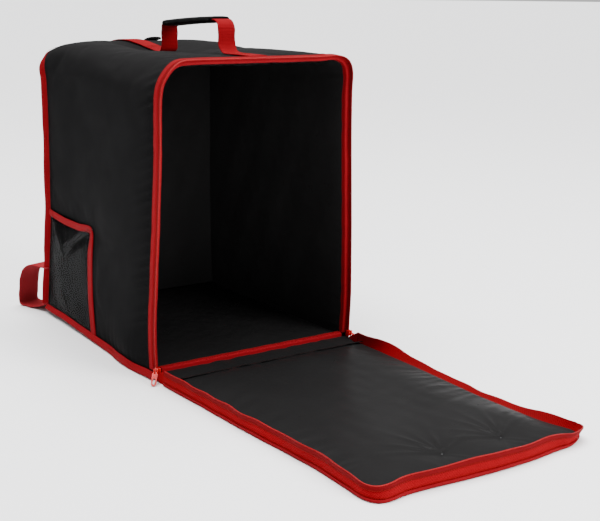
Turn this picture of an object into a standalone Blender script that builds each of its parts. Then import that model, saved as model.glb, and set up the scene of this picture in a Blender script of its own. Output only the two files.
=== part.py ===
"""Insulated delivery bag: a tall padded box of nylon with a zipped front flap that drops open to the floor.

Metres, +Z up. The origin is the centre of the base's underside and the flap lies open towards -Y.
"""
import math

import bmesh
import bpy
from mathutils import Matrix, Vector

# Driving dimensions of the bag
BAG_WIDTH = 0.365
BAG_DEPTH = 0.440
BAG_HEIGHT = 0.485
CORNER_RADIUS = 0.042
LAYER_GAP = 0.0003

# Wall layers, from the outside in
COVER_THICKNESS = 0.0010
FOAM_THICKNESS = 0.0100
LINING_THICKNESS = 0.0008

# Base layers, from the floor up
BASE_COVER_THICKNESS = 0.0015
BASE_BOARD_THICKNESS = 0.0030
BASE_FOAM_THICKNESS = 0.0080

# Flap
FLAP_FOAM_THICKNESS = 0.0080
FLAP_BAND_HEIGHT = 0.0240
FLAP_BINDING_HEIGHT = 0.0050
FLAP_BINDING_THICKNESS = 0.0015
FLAP_SEAM_ALLOWANCE = 0.0010
TACK_HEAD_RADIUS = 0.0035
TACK_HEAD_HEIGHT = 0.0014
TACK_SHANK_RADIUS = 0.0012
TACK_LEFT_X = -0.025
TACK_RIGHT_X = 0.078
TACK_INSET = 0.055

# Bindings and seams
BINDING_THICKNESS = 0.0010
BINDING_WIDTH = 0.0110
SEAM_FLANGE_WIDTH = 0.0110
SEAM_FLANGE_THICKNESS = 0.0030
BASE_FLANGE_TILT = math.radians(18)
BACK_FLANGE_TILT = math.radians(45)
FLOOR_CLEARANCE = 0.0006

# Zipper
TAPE_THICKNESS = 0.0008
TAPE_REACH = 0.0088
COIL_WIDTH = 0.0024
COIL_HEIGHT = 0.0022
SEAM_HALF_GAP = 0.0008
ZIP_END_HEIGHT = 0.0035

# Slider and pull tab
SLIDER_LENGTH = 0.0100
SLIDER_WIDTH = 0.0090
SLIDER_TAIL_WIDTH = 0.0070
SLIDER_NOSE_SHARE = 0.8
SLIDER_PLATE_THICKNESS = 0.0015
SLIDER_LIP = 0.0006
SLIDER_WEDGE_WIDTH = 0.0010
SLIDER_WEDGE_LENGTH = 0.0030
SLIDER_REST_HEIGHT = 0.0165
BRIDGE_WIDTH = 0.0020
BRIDGE_LENGTH = 0.0072
BRIDGE_BAR = 0.0010
BRIDGE_HOLE_HEIGHT = 0.0030
PULL_LENGTH = 0.0270
PULL_WIDTH = 0.0086
PULL_THICKNESS = 0.0012
PULL_ARM_WIDTH = 0.0014
PULL_HOLE_WIDTH = 0.0034
PULL_HOLE_LENGTH = 0.0110
PULL_REST_TILT = math.radians(55)

# Document pocket on the left side
POCKET_WIDTH = 0.200
POCKET_HEIGHT = 0.190
POCKET_DEPTH = 0.0056
POCKET_SHEET = 0.0006
POCKET_BINDING_WIDTH = 0.0110
POCKET_BINDING_THICKNESS = 0.0022
POCKET_CORNER_RADIUS = 0.0160

# Webbing strap, carrying handle and its grip
STRAP_WIDTH = 0.0320
STRAP_THICKNESS = 0.0018
HANDLE_REAR_Y = 0.080
HANDLE_FRONT_Y = -0.110
STRAP_FOOT = 0.0140
LEG_LENGTH = 0.0360
LEG_END_OVERHANG = 0.0004
GRIP_RISE = 0.0160
GRIP_WIDTH = 0.0400
GRIP_THICKNESS = 0.0110
GRIP_BEVEL = 0.0040
GRIP_END_INSET = 0.0020
REAR_TURN_RADIUS = 0.0050
FRONT_TURN_RADIUS = 0.0160

# Rear corner loops and the small tab at the top of the back
LOOP_WIDTH = 0.0400
LOOP_THICKNESS = 0.0020
LOOP_HEIGHT = 0.0850
LOOP_REACH = 0.0850
LOOP_TOP_RADIUS = 0.0360
LOOP_BOTTOM_RADIUS = 0.0060
LOOP_EDGE_INSET = 0.0025
TAB_WIDTH = 0.0270
TAB_LENGTH = 0.0340
TAB_THICKNESS = 0.0045
TAB_X = 0.0485
TAB_BEVEL = 0.0015

# Facets
TURN_STEPS = 8
ROUND_SEGMENTS = 20
SMOOTH_ANGLE = math.radians(35)
BEVEL_ANGLE = math.radians(40)
CUT_OVERRUN = 0.0010

# Places worked out from the sizes above
HALF_WIDTH = BAG_WIDTH / 2
FRONT = -BAG_DEPTH / 2
BACK = BAG_DEPTH / 2
WALL = COVER_THICKNESS + FOAM_THICKNESS + LINING_THICKNESS + 2 * LAYER_GAP
BINDING_FRONT = FRONT + TAPE_REACH
PANEL_FRONT = BINDING_FRONT + BINDING_THICKNESS + LAYER_GAP
SHELL_BACK = BACK - COVER_THICKNESS - LAYER_GAP
WALL_BOTTOM = BASE_COVER_THICKNESS + LAYER_GAP
HINGE_Y = FRONT - FLAP_BAND_HEIGHT
HINGE_Z = BASE_COVER_THICKNESS
FLAP_NEAR = HINGE_Y - LAYER_GAP
FLAP_FAR = HINGE_Y - (BAG_HEIGHT - HINGE_Z)
FLAP_COIL_TOP = HINGE_Z + FLAP_BAND_HEIGHT - SEAM_HALF_GAP
TAPE_DEPTH = LAYER_GAP
COIL_DEPTH = TAPE_DEPTH + TAPE_THICKNESS / 2 - COIL_HEIGHT / 2

X_AXIS = Vector((1, 0, 0))
Y_AXIS = Vector((0, 1, 0))
Z_AXIS = Vector((0, 0, 1))
QUARTER = math.pi / 2


def clear_scene():
    for thing in list(bpy.data.objects):
        bpy.data.objects.remove(thing, do_unlink=True)


def make_collection(name):
    group = bpy.data.collections.new(name)
    bpy.context.scene.collection.children.link(group)
    return group


clear_scene()
PARTS = make_collection("delivery_bag")
CUTTERS = make_collection("cutters")


def make_material(name, colour, roughness, metallic=0.0, alpha=1.0):
    material = bpy.data.materials.new(name)
    material.use_nodes = True
    shader = material.node_tree.nodes["Principled BSDF"]
    shader.inputs["Base Color"].default_value = (*colour, 1)
    shader.inputs["Roughness"].default_value = roughness
    shader.inputs["Metallic"].default_value = metallic
    shader.inputs["Alpha"].default_value = alpha
    material.diffuse_color = (*colour, alpha)
    return material


NYLON = make_material("black_nylon", (0.016, 0.016, 0.018), 0.55)
LINER = make_material("grey_liner", (0.040, 0.039, 0.040), 0.45)
FOAM = make_material("pale_foam", (0.60, 0.60, 0.58), 0.90)
BOARD = make_material("stiff_board", (0.05, 0.05, 0.05), 0.60)
BINDING = make_material("red_binding", (0.52, 0.012, 0.010), 0.60)
WEBBING = make_material("red_webbing", (0.56, 0.013, 0.010), 0.65)
ZIPPER = make_material("red_zipper", (0.45, 0.010, 0.009), 0.50)
SLIDER_PAINT = make_material("red_slider_paint", (0.65, 0.012, 0.012), 0.25, 0.4)
CLEAR_SHEET = make_material("clear_sheet", (0.30, 0.30, 0.31), 0.10, 0.0, 0.4)
GRIP_PAD = make_material("black_grip", (0.008, 0.008, 0.009), 0.70)


def add_mesh_object(name, mesh, material, group=None):
    thing = bpy.data.objects.new(name, mesh)
    (group or PARTS).objects.link(thing)
    if material:
        mesh.materials.append(material)
    return thing


def path_moves(point, heading, axis, legs):
    """Turn legs of ("run", length) and ("turn", radius, angle) into moves in space about one axis."""
    moves = []
    for leg in legs:
        if leg[0] == "run":
            shift = heading * leg[1]
            moves.append(("run", shift))
            point = point + shift
        else:
            radius, angle = leg[1], leg[2]
            side = axis.cross(heading) * math.copysign(1, angle)
            centre = point + side * radius
            turn = Matrix.Rotation(angle, 3, axis)
            moves.append(("turn", centre, axis, angle))
            point = centre + turn @ (point - centre)
            heading = turn @ heading
    return moves


def sweep(name, section, moves, material, group=None):
    """Extrude one face, given by its corner points, along runs and turns into a closed solid."""
    work = bmesh.new()
    face = work.faces.new([work.verts.new(point) for point in section])
    for move in moves:
        steps = 1 if move[0] == "run" else TURN_STEPS
        for _ in range(steps):
            region = [face, *face.edges, *face.verts]
            grown = bmesh.ops.extrude_face_region(work, geom=region)["geom"]
            corners = [item for item in grown if isinstance(item, bmesh.types.BMVert)]
            face = next(item for item in grown if isinstance(item, bmesh.types.BMFace))
            if move[0] == "run":
                bmesh.ops.translate(work, verts=corners, vec=move[1])
            else:
                turn = Matrix.Rotation(move[3] / TURN_STEPS, 3, move[2])
                bmesh.ops.rotate(work, verts=corners, cent=move[1], matrix=turn)
    bmesh.ops.recalc_face_normals(work, faces=work.faces)
    mesh = bpy.data.meshes.new(name)
    work.to_mesh(mesh)
    work.free()
    mesh.shade_smooth()
    mesh.set_sharp_from_angle(angle=SMOOTH_ANGLE)
    return add_mesh_object(name, mesh, material, group)


def box(name, low, high, material, group=None):
    """A block between two corners, from a unit cube, with its origin at its centre."""
    low, high = Vector(low), Vector(high)
    size = high - low
    mesh = bpy.data.meshes.new(name)
    work = bmesh.new()
    bmesh.ops.create_cube(work, size=1)
    bmesh.ops.scale(work, vec=size, verts=work.verts)
    work.to_mesh(mesh)
    work.free()
    thing = add_mesh_object(name, mesh, material, group)
    thing.location = (low + high) / 2
    return thing


def rod(name, centre, axis, radius, length, group=None):
    """A cylinder about an axis."""
    mesh = bpy.data.meshes.new(name)
    work = bmesh.new()
    bmesh.ops.create_cone(work, cap_ends=True, segments=ROUND_SEGMENTS,
                          radius1=radius, radius2=radius, depth=length)
    work.to_mesh(mesh)
    work.free()
    thing = add_mesh_object(name, mesh, None, group)
    thing.rotation_euler = Z_AXIS.rotation_difference(axis).to_euler()
    thing.location = centre
    return thing


def as_cutter(thing):
    thing.hide_render = True
    thing.display_type = "WIRE"
    return thing


def add_boolean(thing, other, operation):
    modifier = thing.modifiers.new(other.name, "BOOLEAN")
    modifier.operation = operation
    modifier.solver = "EXACT"
    modifier.object = other


def add_bevel(thing, width, segments):
    modifier = thing.modifiers.new("bevel", "BEVEL")
    modifier.width = width
    modifier.segments = segments
    modifier.limit_method = "ANGLE"
    modifier.angle_limit = BEVEL_ANGLE


def arch_moves(bottom):
    """Up the left side, over the top and down the right side, along the bag's outer surface."""
    rise = BAG_HEIGHT - CORNER_RADIUS - bottom
    across = BAG_WIDTH - 2 * CORNER_RADIUS
    legs = [("run", rise), ("turn", CORNER_RADIUS, QUARTER), ("run", across),
            ("turn", CORNER_RADIUS, QUARTER), ("run", rise)]
    return path_moves(Vector((-HALF_WIDTH, 0, bottom)), Z_AXIS, Y_AXIS, legs)


def arch_section(depth_low, depth_high, y_low, y_high, bottom):
    """A rectangle across the wall at the bottom left: depths run in from the outer surface."""
    left, right = -HALF_WIDTH + depth_low, -HALF_WIDTH + depth_high
    return [(left, y_low, bottom), (right, y_low, bottom), (right, y_high, bottom), (left, y_high, bottom)]


def arch_layer(name, depth, thickness, y_low, y_high, bottom, material):
    section = arch_section(depth, depth + thickness, y_low, y_high, bottom)
    return sweep(name, section, arch_moves(bottom), material)


def arch_panel(name, inset, bottom, y_low, y_high, material):
    """A flat panel that fills the arch's outline, drawn in by an inset."""
    radius = CORNER_RADIUS - inset
    centre_z = BAG_HEIGHT - CORNER_RADIUS
    centre_x = HALF_WIDTH - CORNER_RADIUS
    outline = [(-HALF_WIDTH + inset, y_low, bottom)]
    for side in (-1, 1):
        for step in range(TURN_STEPS + 1):
            angle = QUARTER * step / TURN_STEPS
            if side < 0:
                place = (-centre_x - radius * math.cos(angle), y_low, centre_z + radius * math.sin(angle))
            else:
                place = (centre_x + radius * math.sin(angle), y_low, centre_z + radius * math.cos(angle))
            outline.append(place)
    outline.append((HALF_WIDTH - inset, y_low, bottom))
    return sweep(name, outline, [("run", Y_AXIS * (y_high - y_low))], material)


def flange_section(root, along, across, width, thickness):
    """A bound seam's cross-section: a rectangle with its outer edge chamfered."""
    half = thickness / 2
    shoulder = width - half / 2
    return [root - across * half, root + along * shoulder - across * half,
            root + along * width - across * half / 2, root + along * width + across * half / 2,
            root + along * shoulder + across * half, root + across * half]


# Walls of the bag

def make_walls():
    arch_layer("wrap_cover", 0, COVER_THICKNESS, PANEL_FRONT, SHELL_BACK, WALL_BOTTOM, NYLON)
    foam_depth = COVER_THICKNESS + LAYER_GAP
    arch_layer("wrap_foam", foam_depth, FOAM_THICKNESS, PANEL_FRONT, SHELL_BACK, WALL_BOTTOM, FOAM)
    lining_depth = foam_depth + FOAM_THICKNESS + LAYER_GAP
    arch_layer("wrap_lining", lining_depth, LINING_THICKNESS, PANEL_FRONT, SHELL_BACK, WALL_BOTTOM, LINER)

    inner = WALL + LAYER_GAP
    arch_panel("back_cover", 0, WALL_BOTTOM, BACK - COVER_THICKNESS, BACK, NYLON)
    foam_back = SHELL_BACK
    foam_front = foam_back - FOAM_THICKNESS
    arch_panel("back_foam", inner, WALL_BOTTOM, foam_front, foam_back, FOAM)
    lining_back = foam_front - LAYER_GAP
    arch_panel("back_lining", inner, WALL_BOTTOM, lining_back - LINING_THICKNESS, lining_back, LINER)
    return lining_back - LINING_THICKNESS


def make_base(cavity_back):
    """The bottom cover runs on in front of the bag as far as the flap's fold."""
    box("base_cover", (-HALF_WIDTH, HINGE_Y, 0), (HALF_WIDTH, BACK, BASE_COVER_THICKNESS), NYLON)
    half = HALF_WIDTH - WALL - LAYER_GAP
    front, back = PANEL_FRONT, cavity_back - LAYER_GAP
    height = WALL_BOTTOM
    layers = [("base_board", BASE_BOARD_THICKNESS, BOARD), ("base_foam", BASE_FOAM_THICKNESS, FOAM),
              ("base_lining", LINING_THICKNESS, LINER)]
    for name, thickness, material in layers:
        box(name, (-half, front, height), (half, back, height + thickness), material)
        height += thickness + LAYER_GAP
    return height


# Bindings

def make_front_binding(base_top, bottom):
    """A folded tape over the front edge of the walls, and one over the front edge of the base."""
    outer = -LAYER_GAP - BINDING_THICKNESS
    inner = WALL + LAYER_GAP + BINDING_THICKNESS
    front, web_back, leg_back = BINDING_FRONT, BINDING_FRONT + BINDING_THICKNESS, BINDING_FRONT + BINDING_WIDTH
    profile = [(outer, front), (inner, front), (inner, leg_back), (WALL + LAYER_GAP, leg_back),
               (WALL + LAYER_GAP, web_back), (-LAYER_GAP, web_back), (-LAYER_GAP, leg_back), (outer, leg_back)]
    section = [(-HALF_WIDTH + depth, y, bottom) for depth, y in profile]
    sweep("front_binding", section, arch_moves(bottom), BINDING)

    half = HALF_WIDTH - inner - LAYER_GAP
    foot = WALL_BOTTOM
    top = base_top + BINDING_THICKNESS
    profile = [(front, foot), (web_back, foot), (web_back, base_top), (leg_back, base_top),
               (leg_back, top), (front, top)]
    section = [(-half, y, z) for y, z in profile]
    sweep("base_front_binding", section, [("run", X_AXIS * 2 * half)], BINDING)


def make_back_binding(bottom):
    """The bound seam that stands out of the corner between the walls and the back."""
    along = Vector((-math.cos(BACK_FLANGE_TILT), math.sin(BACK_FLANGE_TILT), 0))
    across = Vector((math.sin(BACK_FLANGE_TILT), math.cos(BACK_FLANGE_TILT), 0))
    root = Vector((-HALF_WIDTH, BACK, bottom)) + along * LAYER_GAP
    section = flange_section(root, along, across, SEAM_FLANGE_WIDTH, SEAM_FLANGE_THICKNESS)
    sweep("back_binding", section, arch_moves(bottom), BINDING)


def make_base_binding():
    """The bound seam round the bottom: left side, back and right side. Returns its top and its reach."""
    sine, cosine = math.sin(BASE_FLANGE_TILT), math.cos(BASE_FLANGE_TILT)
    along = Vector((-sine, 0, -cosine))
    across = Vector((-cosine, 0, sine))
    half = SEAM_FLANGE_THICKNESS / 2
    out = LAYER_GAP + cosine * half
    height = FLOOR_CLEARANCE + cosine * SEAM_FLANGE_WIDTH + sine * half
    root = Vector((-HALF_WIDTH - out, BINDING_FRONT, height))
    section = flange_section(root, along, across, SEAM_FLANGE_WIDTH, SEAM_FLANGE_THICKNESS)
    side = BACK - BINDING_FRONT
    legs = [("run", side), ("turn", 0, -QUARTER), ("run", BAG_WIDTH), ("turn", 0, -QUARTER), ("run", side)]
    moves = path_moves(Vector((-HALF_WIDTH, BINDING_FRONT, 0)), Y_AXIS, Z_AXIS, legs)
    sweep("base_binding", section, moves, BINDING)
    return height + sine * half, out + sine * SEAM_FLANGE_WIDTH + cosine * half


# Zipper

def make_body_zipper():
    coil_front = FRONT + SEAM_HALF_GAP
    coil_back = coil_front + COIL_WIDTH
    tape_back = BINDING_FRONT - LAYER_GAP
    arch_layer("body_zip_tape", TAPE_DEPTH, TAPE_THICKNESS, coil_back + LAYER_GAP, tape_back,
               ZIP_END_HEIGHT, ZIPPER)
    arch_layer("body_zip_coil", COIL_DEPTH, COIL_HEIGHT, coil_front, coil_back, ZIP_END_HEIGHT, ZIPPER)


def slider_outline(x_low, seam_y, height):
    """The plate's outline as seen from the side: wide at its head, narrow at its tail."""
    half_head, half_tail, half_length = SLIDER_WIDTH / 2, SLIDER_TAIL_WIDTH / 2, SLIDER_LENGTH / 2
    half_nose = half_head * SLIDER_NOSE_SHARE
    waist = half_length / 2
    corners = [(-half_tail, -half_length), (half_tail, -half_length), (half_head, waist),
               (half_nose, half_length), (-half_nose, half_length), (-half_head, waist)]
    return [(x_low, seam_y + across, height + along) for across, along in corners]


def make_slider(name, side):
    """One slider on the seam line. Its wedge lies between the two coils and its lips hold the bag's tape."""
    surface = side * HALF_WIDTH
    outer_low = COIL_DEPTH - LAYER_GAP
    inner_low = COIL_DEPTH + COIL_HEIGHT + LAYER_GAP

    def place(depth):
        return surface - side * depth

    height = SLIDER_REST_HEIGHT
    plate_run = [("run", X_AXIS * side * SLIDER_PLATE_THICKNESS)]
    body = sweep(name, slider_outline(place(outer_low), FRONT, height), plate_run, SLIDER_PAINT)
    inner_start = place(inner_low + SLIDER_PLATE_THICKNESS)
    pieces = [sweep(name + "_inner", slider_outline(inner_start, FRONT, height), plate_run, None, CUTTERS)]

    def block(suffix, depth_low, depth_high, y_low, y_high, z_low, z_high):
        x_pair = sorted((place(depth_low), place(depth_high)))
        pieces.append(box(name + suffix, (x_pair[0], y_low, z_low), (x_pair[1], y_high, z_high), None, CUTTERS))

    top = height + SLIDER_LENGTH / 2
    bite = SLIDER_PLATE_THICKNESS / 2
    wedge = SLIDER_WEDGE_WIDTH / 2
    block("_wedge", outer_low - bite, inner_low + bite, FRONT - wedge, FRONT + wedge,
          top - SLIDER_WEDGE_LENGTH, top - SLIDER_LIP)
    lip_back = FRONT + SLIDER_TAIL_WIDTH / 2 + SLIDER_LIP
    lip_front = FRONT + SEAM_HALF_GAP + COIL_WIDTH + LAYER_GAP
    lip_low, lip_high = height - SLIDER_LENGTH / 4, height + SLIDER_LENGTH / 4
    block("_outer_lip", outer_low - bite, TAPE_DEPTH - LAYER_GAP, lip_front, lip_back, lip_low, lip_high)
    block("_inner_lip", TAPE_DEPTH + TAPE_THICKNESS + LAYER_GAP, inner_low + bite, lip_front, lip_back,
          lip_low, lip_high)

    plate_top = outer_low - SLIDER_PLATE_THICKNESS
    hole_top = plate_top - BRIDGE_HOLE_HEIGHT
    half_bridge, half_length = BRIDGE_WIDTH / 2, BRIDGE_LENGTH / 2
    block("_bridge", plate_top + bite, hole_top - BRIDGE_BAR, FRONT - half_bridge, FRONT + half_bridge,
          height - half_length, height + half_length)
    for piece in pieces:
        add_boolean(body, as_cutter(piece), "UNION")
    x_pair = sorted((place(plate_top), place(hole_top)))
    hole_half = half_length - BRIDGE_BAR
    hole = box(name + "_hole", (x_pair[0], FRONT - half_bridge - CUT_OVERRUN, height - hole_half),
               (x_pair[1], FRONT + half_bridge + CUT_OVERRUN, height + hole_half), None, CUTTERS)
    add_boolean(body, as_cutter(hole), "DIFFERENCE")
    return place(plate_top - BRIDGE_HOLE_HEIGHT / 2)


def add_spline(curve, points):
    spline = curve.splines.new("POLY")
    spline.points.add(len(points) - 1)
    for slot, (x, y) in zip(spline.points, points):
        slot.co = (x, y, 0, 1)
    spline.use_cyclic_u = True


def rounded_slot(centre_y, width, length, steps):
    """A slot outline along local Y with half-round ends."""
    radius = width / 2
    straight = length / 2 - radius
    points = []
    for end in (1, -1):
        for step in range(steps + 1):
            angle = math.pi * step / steps + (0 if end > 0 else math.pi)
            points.append((radius * math.cos(angle), centre_y + end * straight + radius * math.sin(angle)))
    return points


def make_pull(name, side, pivot_x):
    """A flat pull tab on the slider's bridge. Its origin is on its hinge axis and it hangs along local -Y."""
    bridge_reach = math.hypot(BRIDGE_LENGTH / 2, BRIDGE_HOLE_HEIGHT / 2 + BRIDGE_BAR)
    window_half = BRIDGE_WIDTH / 2 + LAYER_GAP
    window_top = -PULL_THICKNESS / 2
    window_bottom = -bridge_reach - LAYER_GAP
    shoulder = window_half + PULL_ARM_WIDTH
    top = PULL_THICKNESS / 2
    radius = PULL_WIDTH / 2
    end_centre = -PULL_LENGTH + radius

    outline = [(shoulder, top), (-shoulder, top), (-shoulder, window_bottom / 2), (-radius, window_bottom)]
    for step in range(TURN_STEPS + 1):
        angle = math.pi + math.pi * step / TURN_STEPS
        outline.append((radius * math.cos(angle), end_centre + radius * math.sin(angle)))
    outline += [(radius, window_bottom), (shoulder, window_bottom / 2)]
    window = [(-window_half, window_top), (window_half, window_top), (window_half, window_bottom),
              (-window_half, window_bottom)]
    slot_centre = end_centre + PULL_HOLE_LENGTH / 2 - PULL_HOLE_WIDTH / 2

    curve = bpy.data.curves.new(name, "CURVE")
    curve.dimensions = "2D"
    curve.fill_mode = "BOTH"
    curve.extrude = PULL_THICKNESS / 2
    add_spline(curve, outline)
    add_spline(curve, window)
    add_spline(curve, rounded_slot(slot_centre, PULL_HOLE_WIDTH, PULL_HOLE_LENGTH, TURN_STEPS))
    curve.materials.append(SLIDER_PAINT)
    thing = bpy.data.objects.new(name, curve)
    PARTS.objects.link(thing)
    stand = Matrix.Rotation(QUARTER, 4, "X")
    face_out = Matrix.Rotation(side * QUARTER, 4, "Z")
    swing = Matrix.Rotation(-side * PULL_REST_TILT, 4, "Y")
    place = Matrix.Translation((pivot_x, FRONT, SLIDER_REST_HEIGHT))
    thing.matrix_world = place @ swing @ face_out @ stand


def make_sliders():
    for word, side in (("left", -1), ("right", 1)):
        pivot_x = make_slider("zip_slider_" + word, side)
        make_pull("zip_pull_" + word, side, pivot_x)


# Flap

def flap_moves():
    """Out along the left edge, across the far edge and back along the right edge."""
    side = FLAP_NEAR - FLAP_FAR - CORNER_RADIUS
    across = BAG_WIDTH - 2 * CORNER_RADIUS
    legs = [("run", side), ("turn", CORNER_RADIUS, QUARTER), ("run", across),
            ("turn", CORNER_RADIUS, QUARTER), ("run", side)]
    return path_moves(Vector((-HALF_WIDTH, FLAP_NEAR, 0)), -Y_AXIS, Z_AXIS, legs)


def flap_rail(name, depth, thickness, z_low, z_high, material):
    left, right = -HALF_WIDTH + depth, -HALF_WIDTH + depth + thickness
    section = [(left, FLAP_NEAR, z_low), (right, FLAP_NEAR, z_low),
               (right, FLAP_NEAR, z_high), (left, FLAP_NEAR, z_high)]
    return sweep(name, section, flap_moves(), material)


def flap_panel(name, inset, z_low, thickness, material):
    """A layer of the flap: square at the fold and round at the two far corners."""
    radius = CORNER_RADIUS - inset
    centre_x = HALF_WIDTH - CORNER_RADIUS
    centre_y = FLAP_FAR + CORNER_RADIUS
    outline = [(-HALF_WIDTH + inset, FLAP_NEAR, z_low)]
    for step in range(TURN_STEPS + 1):
        angle = QUARTER * step / TURN_STEPS
        outline.append((-centre_x - radius * math.cos(angle), centre_y - radius * math.sin(angle), z_low))
    for step in range(TURN_STEPS + 1):
        angle = QUARTER * step / TURN_STEPS
        outline.append((centre_x + radius * math.sin(angle), centre_y - radius * math.cos(angle), z_low))
    outline.append((HALF_WIDTH - inset, FLAP_NEAR, z_low))
    return sweep(name, outline, [("run", Z_AXIS * thickness)], material)


def make_flap():
    flap_panel("flap_cover", 0, 0, COVER_THICKNESS, NYLON)
    band_low = COVER_THICKNESS + LAYER_GAP
    coil_low = FLAP_COIL_TOP - COIL_WIDTH
    flap_rail("flap_zip_band", TAPE_DEPTH, TAPE_THICKNESS, band_low, coil_low - LAYER_GAP, BINDING)
    flap_rail("flap_zip_coil", COIL_DEPTH, COIL_HEIGHT, coil_low, FLAP_COIL_TOP, ZIPPER)
    flap_rail("flap_edge_binding", -LAYER_GAP - FLAP_BINDING_THICKNESS, FLAP_BINDING_THICKNESS,
              FLOOR_CLEARANCE, FLAP_BINDING_HEIGHT, BINDING)

    inset = TAPE_DEPTH + TAPE_THICKNESS + FLAP_SEAM_ALLOWANCE
    foam = flap_panel("flap_foam", inset, band_low, FLAP_FOAM_THICKNESS, FOAM)
    lining_low = band_low + FLAP_FOAM_THICKNESS + LAYER_GAP
    lining = flap_panel("flap_lining", inset, lining_low, LINING_THICKNESS, LINER)

    lining_top = lining_low + LINING_THICKNESS
    tack_y = FLAP_FAR + TACK_INSET
    for word, x in (("left", TACK_LEFT_X), ("right", TACK_RIGHT_X)):
        hole = rod("tack_hole_" + word, (x, tack_y, (band_low + lining_top) / 2), Z_AXIS,
                   TACK_SHANK_RADIUS + LAYER_GAP, lining_top - band_low + 2 * CUT_OVERRUN, CUTTERS)
        add_boolean(foam, as_cutter(hole), "DIFFERENCE")
        add_boolean(lining, hole, "DIFFERENCE")
        make_tack("flap_tack_" + word, (x, tack_y, 0), band_low, lining_top + LAYER_GAP)


def make_tack(name, place, shank_low, head_low):
    """A turned rivet: a domed head on the lining and a shank down to the cover."""
    crown = head_low + TACK_HEAD_HEIGHT
    profile = [(0, crown)]
    for step in range(1, TURN_STEPS + 1):
        angle = QUARTER * step / TURN_STEPS
        profile.append((TACK_HEAD_RADIUS * math.sin(angle), head_low + TACK_HEAD_HEIGHT * math.cos(angle)))
    profile += [(TACK_SHANK_RADIUS, head_low), (TACK_SHANK_RADIUS, shank_low), (0, shank_low)]
    mesh = bpy.data.meshes.new(name)
    edges = [(index, index + 1) for index in range(len(profile) - 1)]
    mesh.from_pydata([(radius, 0, z) for radius, z in profile], edges, [])
    thing = add_mesh_object(name, mesh, GRIP_PAD)
    thing.location = place
    screw = thing.modifiers.new("turn", "SCREW")
    screw.steps = ROUND_SEGMENTS
    screw.render_steps = ROUND_SEGMENTS
    screw.use_merge_vertices = True
    screw.merge_threshold = 0.00001


# Document pocket

def make_pocket(seam_top):
    """A clear sheet that stands off the left side, open at the top, bound along its top and front edges."""
    back = SHELL_BACK
    front = back - POCKET_WIDTH
    bottom = seam_top + LAYER_GAP
    top = bottom + POCKET_HEIGHT
    wall_side = -HALF_WIDTH - LAYER_GAP
    outer = wall_side - POCKET_DEPTH - POCKET_SHEET
    sheet = box("pocket_window", (outer, front, bottom), (wall_side, back, top), CLEAR_SHEET)
    hollow = box("pocket_hollow", (outer + POCKET_SHEET, front + POCKET_SHEET, bottom + POCKET_SHEET),
                 (wall_side + CUT_OVERRUN, back - POCKET_SHEET, top + CUT_OVERRUN), None, CUTTERS)
    add_boolean(sheet, as_cutter(hollow), "DIFFERENCE")

    skin = outer - LAYER_GAP
    radius = POCKET_CORNER_RADIUS
    section = [(skin, front, bottom), (skin - POCKET_BINDING_THICKNESS, front, bottom),
               (skin - POCKET_BINDING_THICKNESS, front + POCKET_BINDING_WIDTH, bottom),
               (skin, front + POCKET_BINDING_WIDTH, bottom)]
    legs = [("run", POCKET_HEIGHT - radius), ("turn", radius, -QUARTER), ("run", POCKET_WIDTH - radius)]
    moves = path_moves(Vector((skin, front, bottom)), Z_AXIS, X_AXIS, legs)
    sweep("pocket_binding", section, moves, BINDING)


# Strap, handle, loops and tab

def strap_section(y, z, thickness_axis, width, thickness, x_centre):
    """A webbing cross-section centred on a point, thick along one axis."""
    half = width / 2
    lift = thickness_axis * thickness / 2
    centre = Vector((x_centre, y, z))
    return [centre - X_AXIS * half - lift, centre + X_AXIS * half - lift,
            centre + X_AXIS * half + lift, centre - X_AXIS * half + lift]


def make_strap():
    """Two flat runs of webbing on the top, each with a foot under one leg of the handle."""
    middle = BAG_HEIGHT + LAYER_GAP + STRAP_THICKNESS / 2
    rear_start, rear_end = HANDLE_REAR_Y - STRAP_FOOT, SHELL_BACK
    section = strap_section(rear_start, middle, Z_AXIS, STRAP_WIDTH, STRAP_THICKNESS, 0)
    sweep("strap_rear", section, [("run", Y_AXIS * (rear_end - rear_start))], WEBBING)
    front_start = BINDING_FRONT + BINDING_WIDTH + LAYER_GAP
    front_end = HANDLE_FRONT_Y + STRAP_FOOT
    section = strap_section(front_start, middle, Z_AXIS, STRAP_WIDTH, STRAP_THICKNESS, 0)
    sweep("strap_front", section, [("run", Y_AXIS * (front_end - front_start))], WEBBING)
    return middle + STRAP_THICKNESS / 2


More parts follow.
